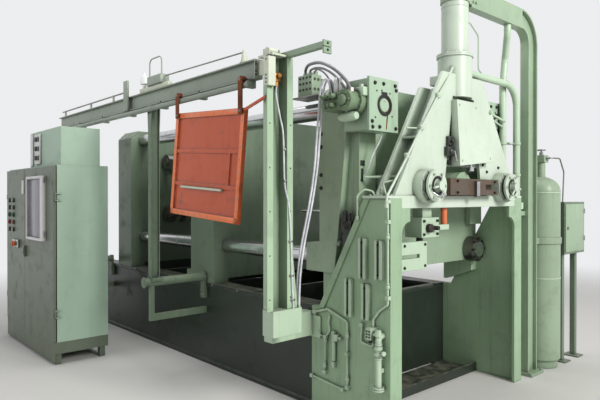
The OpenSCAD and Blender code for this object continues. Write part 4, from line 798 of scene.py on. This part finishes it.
# Puller motor: a geared hydraulic motor, dark with oil, with its valve stack, pale oil cups
# and three bent steel pipes that arch over to the die-side valve block.
motor_green = painted("motor_enamel", (112, 134, 104), dirt=0.8, wear=0.6, streaks=0.7, grime_and_shade_reach=0.14)
wear_on(motor_green, "puller_motor")
MOTOR_X, MOTOR_Z, MOTOR_END = 0.43, 2.33, -1.095
for dx, dz in circle(6, 0.055):
    part.bolt((MOTOR_X + dx, MOTOR_END, MOTOR_Z + dz), FRONT, 0.012)
part.rod((MOTOR_X, MOTOR_END, MOTOR_Z), FRONT, 0.036, 0.018, 24, (0.022, 0.028))
for dx, dz in circle(8, 0.085, 0.5):
    part.bolt((MOTOR_X + dx, -1.005, MOTOR_Z + dz), FRONT, 0.009)
for i, x in enumerate((0.255, 0.305, 0.35)):
    part.rod((x, MOTOR_END, 2.365), FRONT, 0.02, 0.03, 12, (0.034, 0.014), (0.05, 0.014))
    part.rod((x, MOTOR_END, 2.3), FRONT, 0.016, 0.024 + 0.01 * i, 6, (0.03 + 0.01 * i, 0.01))
part.rod((0.23, -1.02, 2.34), LEFT, 0.034, 0.02, 16, (0.024, 0.026), (0.035, 0.026))
part.rod((0.23, -1.06, 2.3), LEFT, 0.02, 0.022, 6)
part.done("puller_motor_fittings", motor_green)
part.turned((0.33, -1.02, 2.222), RIGHT, [(0, 0.026), (0.03, 0.034), (0.13, 0.034), (0.16, 0.026)], 20)
part.rod((0.41, -1.02, 2.222), UP, 0.022, 0.05, 16)
part.box((0.455, -1.0, 2.36), (0.535, -0.95, 2.425), 0.008)
part.rod((0.495, -0.975, 2.42), UP, 0.018, 0.025, 6)
part.done("puller_motor_gear_end", pale)
cup_white = painted("cup_white", (242, 243, 240), dirt=0.1, wear=0.1)
for x in (0.295, 0.35):
    part.turned((x, -1.015, 2.393), UP, [(0, 0.022), (0.008, 0.0265), (0.105, 0.0265), (0.118, 0.02),
                                         (0.126, 0.01)], 20)
part.done("puller_oil_cups", cup_white)
pipe_grey = painted("pipe_grey", (112, 114, 116))
part.tube(swept([(-0.27, -0.8, 2.655), (-0.265, -0.815, 2.69), (-0.18, -0.86, 2.715), (0.0, -0.94, 2.69),
                 (0.15, -1.0, 2.645), (0.3, -1.04, 2.57), (0.41, -1.05, 2.48), (0.462, -1.05, 2.4),
                 (0.468, -1.05, 2.35)]), 0.0125, 14)
part.tube(swept([(-0.215, -0.8, 2.655), (-0.2, -0.82, 2.68), (-0.08, -0.88, 2.67), (0.08, -0.95, 2.63),
                 (0.23, -1.0, 2.56), (0.34, -1.03, 2.48), (0.405, -1.04, 2.41), (0.41, -1.04, 2.35)]),
          0.0095, 14)
part.tube(swept([(-0.16, -0.8, 2.655), (-0.14, -0.82, 2.67), (0.0, -0.92, 2.64), (0.13, -0.98, 2.58),
                 (0.22, -1.01, 2.5), (0.25, -1.02, 2.43), (0.25, -1.02, 2.38)]), 0.007, 12)
part.done("motor_arch_pipes", pipe_grey)
part.rod((0.468, -1.05, 2.385), UP, 0.022, 0.03, 6)
part.rod((0.41, -1.04, 2.395), UP, 0.018, 0.026, 6)
part.done("motor_arch_nuts", dull_steel)

# Guard post: a folded hat section on a box foot, its lips drilled, with a head box, a roller
# and a cable in clips from a brass fitting down to the foot.
# The wide reach darkens the post's folded channel with painted shade.
post_green = painted("post_enamel", (162, 186, 156), dirt=0.45, wear=0.5, gloss=0.36, grime_and_shade_reach=0.22)
wear_on(post_green, "guard_post")
wear_on(pale, "guard_post_foot")
cream = painted("cream_enamel", (198, 204, 184), wear=0.35, gloss=0.42)
wear_on(cream, "guard_post_head")
wear_on(reseda, "guard_head_beam")
brass = steel("aged_brass", (204, 150, 88), 0.34, rust=0.15)
part.box((0.098, -1.462, 2.455), (0.135, -1.415, 2.515), 0.003)
part.rod((0.135, -1.438, 2.495), RIGHT, 0.02, 0.02, 6, (0.024, 0.014))
part.rod((0.118, -1.438, 2.455), DOWN, 0.015, 0.03, 6)
part.done("post_brass_fitting", brass)
part.tube(swept([(0.118, -1.438, 2.44), (0.125, -1.448, 2.36), (0.15, -1.435, 2.21),
                 (0.165, -1.418, 2.08), (0.172, -1.411, 1.75), (0.193, -1.392, 1.6),
                 (0.1965, -1.375, 1.38), (0.1965, -1.365, 1.08), (0.1965, -1.352, 0.885),
                 (0.19, -1.35, 0.862)]), 0.0065)
part.done("post_cable", rubber)
for x, y, z in ((0.172, -1.4045, 1.98), (0.174, -1.4045, 1.76)):
    part.box((x - 0.014, y - 0.014, z - 0.008), (x + 0.01, y + 0.01, z + 0.008), 0.002)
for y, z in ((-1.373, 1.34), (-1.366, 1.1), (-1.355, 0.93)):
    part.box((0.19, y - 0.018, z - 0.007), (0.2035, y + 0.016, z + 0.007), 0.002)
part.done("post_cable_clips", dull_steel)
for z in (2.42, 2.445, 2.47, 2.575):
    part.turned((0.2, -1.597, z), FRONT, [(0, 0.006), (0.004, 0.005)], 10)
part.rod((0.198, -1.566, 2.594), UP, 0.022, 0.012, 16, (0.016, 0.014))
for z in (2.635, 2.59):
    part.bolt((0.572, -1.385, z + 0.01), RIGHT, 0.009)
part.done("guard_post_screws", dark_steel)

# Rail and track: rolled beam under dusty paint with a worn, painted track tube. On top stand
# the guide rod's post, a small carriage on its bar, an oiler and an upright plate.
rail_green = painted("rail_enamel", (142, 152, 138), dirt=0.5, wear=0.5, gloss=0.4, streaks=0.3)
wear_on(rail_green, "rail_beam")
track_grey = painted("track_enamel", (128, 138, 126), dirt=0.5, wear=0.7, rust=0.2)
wear_on(track_grey, "door_track")
RAIL_TOP, RAIL_Y = 2.64, -1.465
WIRE_Y = RAIL_Y - 0.02
part.rod((-0.23, RAIL_Y, RAIL_TOP), UP, 0.034, 0.012, 16, (0.014, 0.026), (0.075, 0.014), (0.085, 0.014),
         (0.1, 0.01))
part.box((-1.9, RAIL_Y - 0.022, RAIL_TOP), (-1.34, RAIL_Y + 0.022, RAIL_TOP + 0.045), 0.004)
part.done("rail_guide_post", cream)
part.tube([(-0.23, RAIL_Y, RAIL_TOP + 0.086), (-1.42, RAIL_Y, RAIL_TOP + 0.105)], 0.006)
part.tube([(-2.16, WIRE_Y, RAIL_TOP + 0.06), (-4.0, WIRE_Y, RAIL_TOP + 0.06)], 0.008)
for x in (-2.5, -3.1, -3.9):
    part.rod((x, WIRE_Y, RAIL_TOP), UP, 0.012, 0.068, 8)
part.done("rail_guide_rods", dull_steel)
part.box((-1.7, RAIL_Y - 0.045, RAIL_TOP + 0.045), (-1.44, RAIL_Y + 0.045, RAIL_TOP + 0.125), 0.006)
part.box((-1.735, RAIL_Y - 0.028, RAIL_TOP + 0.045), (-1.7, RAIL_Y + 0.028, RAIL_TOP + 0.085), 0.004)
part.box((-2.19, RAIL_Y - 0.055, 2.5), (-2.1, RAIL_Y - 0.035, 2.8), 0.003)
part.bent([(-1.46, WIRE_Y, RAIL_TOP + 0.125), (-1.46, WIRE_Y, 2.93), (-1.69, WIRE_Y, 2.93),
           (-1.69, WIRE_Y, RAIL_TOP + 0.125)], 0.05, 0.006)
part.done("rail_carriage", rail_green)
part.rod((-1.84, RAIL_Y, RAIL_TOP + 0.044), UP, 0.018, 0.04, 20, (0.042, 0.036), (0.11, 0.036),
         (0.12, 0.02), (0.155, 0.008))
part.done("rail_oiler", cup_white)
for z in (2.528, 2.552, 2.602, 2.618):
    part.turned((-0.05, -1.493, z), RIGHT, [(0, 0.007), (0.004, 0.006)], 10)
for i in range(7):
    part.bolt((-0.15 - 0.65 * i, -1.5, 2.508), FRONT, 0.009)
part.done("rail_bolts", dark_steel)

# Supports of the rail: flanged posts on round outriggers from the bed, in the old dark green,
# with foot bolts.
wear_on(old_green, "flared_posts", "outriggers")
SUPPORTS = (-1.65, -3.85)
for x in SUPPORTS:
    for dx in (-0.045, 0.045):
        part.bolt((x + dx, -1.445, 0.9), UP, 0.012)
        for z in (0.68, 0.72):
            part.bolt((x + dx * 0.45, -0.945, z), FRONT, 0.01)
part.done("support_bolts", dull_steel)

# Guard door: orange frame of flat bars with riveted sheet panels, rusted and faded, with a pale
# handle bar; it hangs askew, so its parts are built upright and then tilted with it.
orange = painted("orange_enamel", (194, 80, 36), fade=0.12, wear=0.6, rust=0.7, streaks=0.6,
                 grime_and_shade_reach=0.05)
frame_orange = painted("orange_frame_enamel", (232, 118, 64), dirt=0.25, wear=0.6, rust=0.35, gloss=0.28)
wear_on(orange, "guard_door")
DOOR_W, DOOR_H, DOOR_T, DOOR_BAR = 0.975, 0.84, 0.03, 0.045
DOOR_TILT, DOOR_LEAN = math.radians(3.8), math.radians(2.2)
door_place = (Matrix.Translation((-0.150, -1.525 - DOOR_H * math.sin(DOOR_LEAN), 1.450))
              @ Matrix.Rotation(DOOR_TILT, 4, "Y") @ Matrix.Rotation(-DOOR_LEAN, 4, "X")
              @ Matrix.Rotation(math.pi / 2, 4, "X"))
for u0, v0, u1, v1 in ((-DOOR_W, 0, -DOOR_W + DOOR_BAR, DOOR_H), (-DOOR_BAR, 0, 0, DOOR_H),
                       (-DOOR_W, 0, 0, DOOR_BAR), (-DOOR_W, DOOR_H - DOOR_BAR, 0, DOOR_H)):
    part.box((u0 + 0.002, v0 + 0.002, DOOR_T), (u1 - 0.002, v1 - 0.002, DOOR_T + 0.003), 0.001)
part.placed(door_place)
part.done("door_frame_capping", frame_orange, "guard_door")
INSET = 0.022
spots = [(-DOOR_W + 0.03 + (DOOR_W - 0.06) * i / 10, v) for i in range(11)
         for v in (INSET, DOOR_H - INSET)]
spots += [(u, DOOR_H * i / 9) for i in range(1, 9) for u in (-DOOR_W + INSET, -INSET)]
for u, v in spots:
    part.turned((u, v, DOOR_T + 0.003), UP, [(0, 0.006), (0.002, 0.005)], 10)
part.placed(door_place)
part.done("door_rivets", dull_steel, "guard_door")
part.box((-0.8, 0.225, 0.032), (-0.22, 0.243, 0.052), 0.004)
for u in (-0.78, -0.24):
    part.box((u - 0.012, 0.228, 0.015), (u + 0.012, 0.24, 0.034), 0.002)
part.placed(door_place)
part.done("door_handle_bar", cream, "guard_door")
rusty = steel("rusty_strap", (118, 70, 50), 0.6, rust=0.9)
wear_on(rusty, "door_hangers")
for x, edge in ((-0.134, 2.29), (-1.03, 2.35)):
    for z in (edge - 0.02, 2.495):
        part.bolt((x, -1.5735, z), FRONT, 0.011)
part.done("door_hanger_bolts", dull_steel, "guard_door")

# Control cabinet: folded sheet steel in a dull green with darker doors, push buttons, the
# main switch, a glazed window box, a latch and terminals with round glands on the upper box.
cabinet_green = painted("cabinet_enamel", (156, 180, 160), dirt=0.25, fade=0.15, wear=0.3, streaks=0.3,
                        gloss=0.42)
door_green = painted("cabinet_door_enamel", (94, 104, 88), dirt=0.35, fade=0.2, wear=0.3, streaks=0.45,
                     gloss=0.4)
wear_on(cabinet_green, "cabinet_back", "cabinet_sides", "cabinet_top", "cabinet_top_box")
# The plinth, whose own paint is the body's green, wears the doors' darker green as painted shade.
wear_on(door_green, "cabinet_door_left", "cabinet_door_right", "cabinet_plinth")
window_white = painted("window_enamel", (204, 200, 200), dirt=0.3, gloss=0.36)
wear_on(window_white, "cabinet_window")
CABINET_FRONT = -2.08


def plain_gloss(name, colour, rough=0.3):
    """Moulded plastic or glass paint with faint scratches and dust."""
    colour = srgb(*colour)
    n = Nodes(name)
    tone = n.mix(n.ramp(n.noise(8, detail=5), 0.4, 0.75), colour, shade(colour, 0.8, 0.02))
    haze = n.math("ADD", rough, n.math("MULTIPLY", n.noise(20, detail=6), 0.25))
    bump = n.add("Bump", Strength=0.05, Distance=0.001, Height=n.noise(200))
    skin = n.add("BsdfPrincipled", Base_Color=tone, Roughness=haze,
                 Normal=bump.outputs[0])
    return n.finish(skin.outputs[0])


pane_grey = plain_gloss("window_pane", (128, 124, 134), 0.08)
part.box((-3.221, -2.1135, 1.234), (-2.789, -2.1105, 1.836), 0.001)
part.done("window_pane", pane_grey, "cabinet_door_right")
for z in (1.25, 1.8):
    part.rod((-2.752, -2.1, z), UP, 0.008, 0.05, 10)
part.done("window_hinges", dull_steel, "cabinet_door_right")
black_plastic = plain_gloss("black_plastic", (38, 38, 38), 0.3)
BUTTON_X, BUTTON_Z, BUTTON_PITCH = (-4.041, -3.881), 1.278, 0.084
for i in range(5):
    for x in BUTTON_X:
        part.band((x, CABINET_FRONT, BUTTON_Z + BUTTON_PITCH * i), FRONT, 0.0195, 0.027, 0.012, 20)
part.done("button_rims", black_plastic, "cabinet_door_left")
for colour, tint, rows in (("grey", (150, 150, 148), (0, 3, 4)), ("red", (180, 52, 40), (1,)),
                           ("green", (52, 110, 66), (2,))):
    for i in rows:
        for x in BUTTON_X:
            part.rod((x, CABINET_FRONT - 0.018, BUTTON_Z + BUTTON_PITCH * i), FRONT, 0.0165, 0.005, 16,
                     (0.008, 0.012))
    part.done("button_caps_" + colour, plain_gloss("button_" + colour, tint), "cabinet_door_left")
for x0, x1 in ((-3.868, -3.765), (-3.745, -3.65)):
    part.box((x0, CABINET_FRONT - 0.023, 1.084), (x1, CABINET_FRONT - 0.0195, 1.168), 0.001)
part.done("switch_plates", plain_gloss("switch_white", (206, 206, 202)), "cabinet_door_left")
part.rod((-3.705, CABINET_FRONT - 0.045, 1.126), FRONT, 0.026, 0.012, 24, (0.016, 0.02))
part.box((-3.713, CABINET_FRONT - 0.075, 1.096), (-3.697, CABINET_FRONT - 0.058, 1.156), 0.003)
part.done("switch_grip", plain_gloss("switch_orange", (206, 92, 48)),
          "cabinet_door_left")
part.box((-3.565, CABINET_FRONT - 0.006, 1.685), (-3.49, CABINET_FRONT, 1.834), 0.002)
part.done("cabinet_cover_plate", window_white, "cabinet_door_left")
part.rod((-3.421, CABINET_FRONT - 0.025, 1.06), FRONT, 0.014, 0.006, 16)
part.box((-3.428, CABINET_FRONT - 0.036, 1.02), (-3.414, CABINET_FRONT - 0.029, 1.1), 0.002)
part.done("cabinet_latch", dull_steel, "cabinet_door_right")
end_x, face_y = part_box("cabinet_top_box")[0].xy
part.box((end_x + 0.025, face_y - 0.012, 1.985), (end_x + 0.105, face_y, 2.335), 0.002)
part.box((end_x + 0.2, face_y - 0.02, 2.0), (end_x + 0.37, face_y, 2.32), 0.004)
part.done("cabinet_terminals", window_white)
for z in (2.03, 2.13, 2.23):
    part.rod((end_x + 0.25, face_y - 0.02, z + 0.037), FRONT, 0.026, 0.012, 16, (0.014, 0.018))
    part.box((end_x + 0.3, face_y - 0.028, z + 0.01), (end_x + 0.35, face_y - 0.02, z + 0.06), 0.002)
part.done("cabinet_terminal_glands", black_plastic)
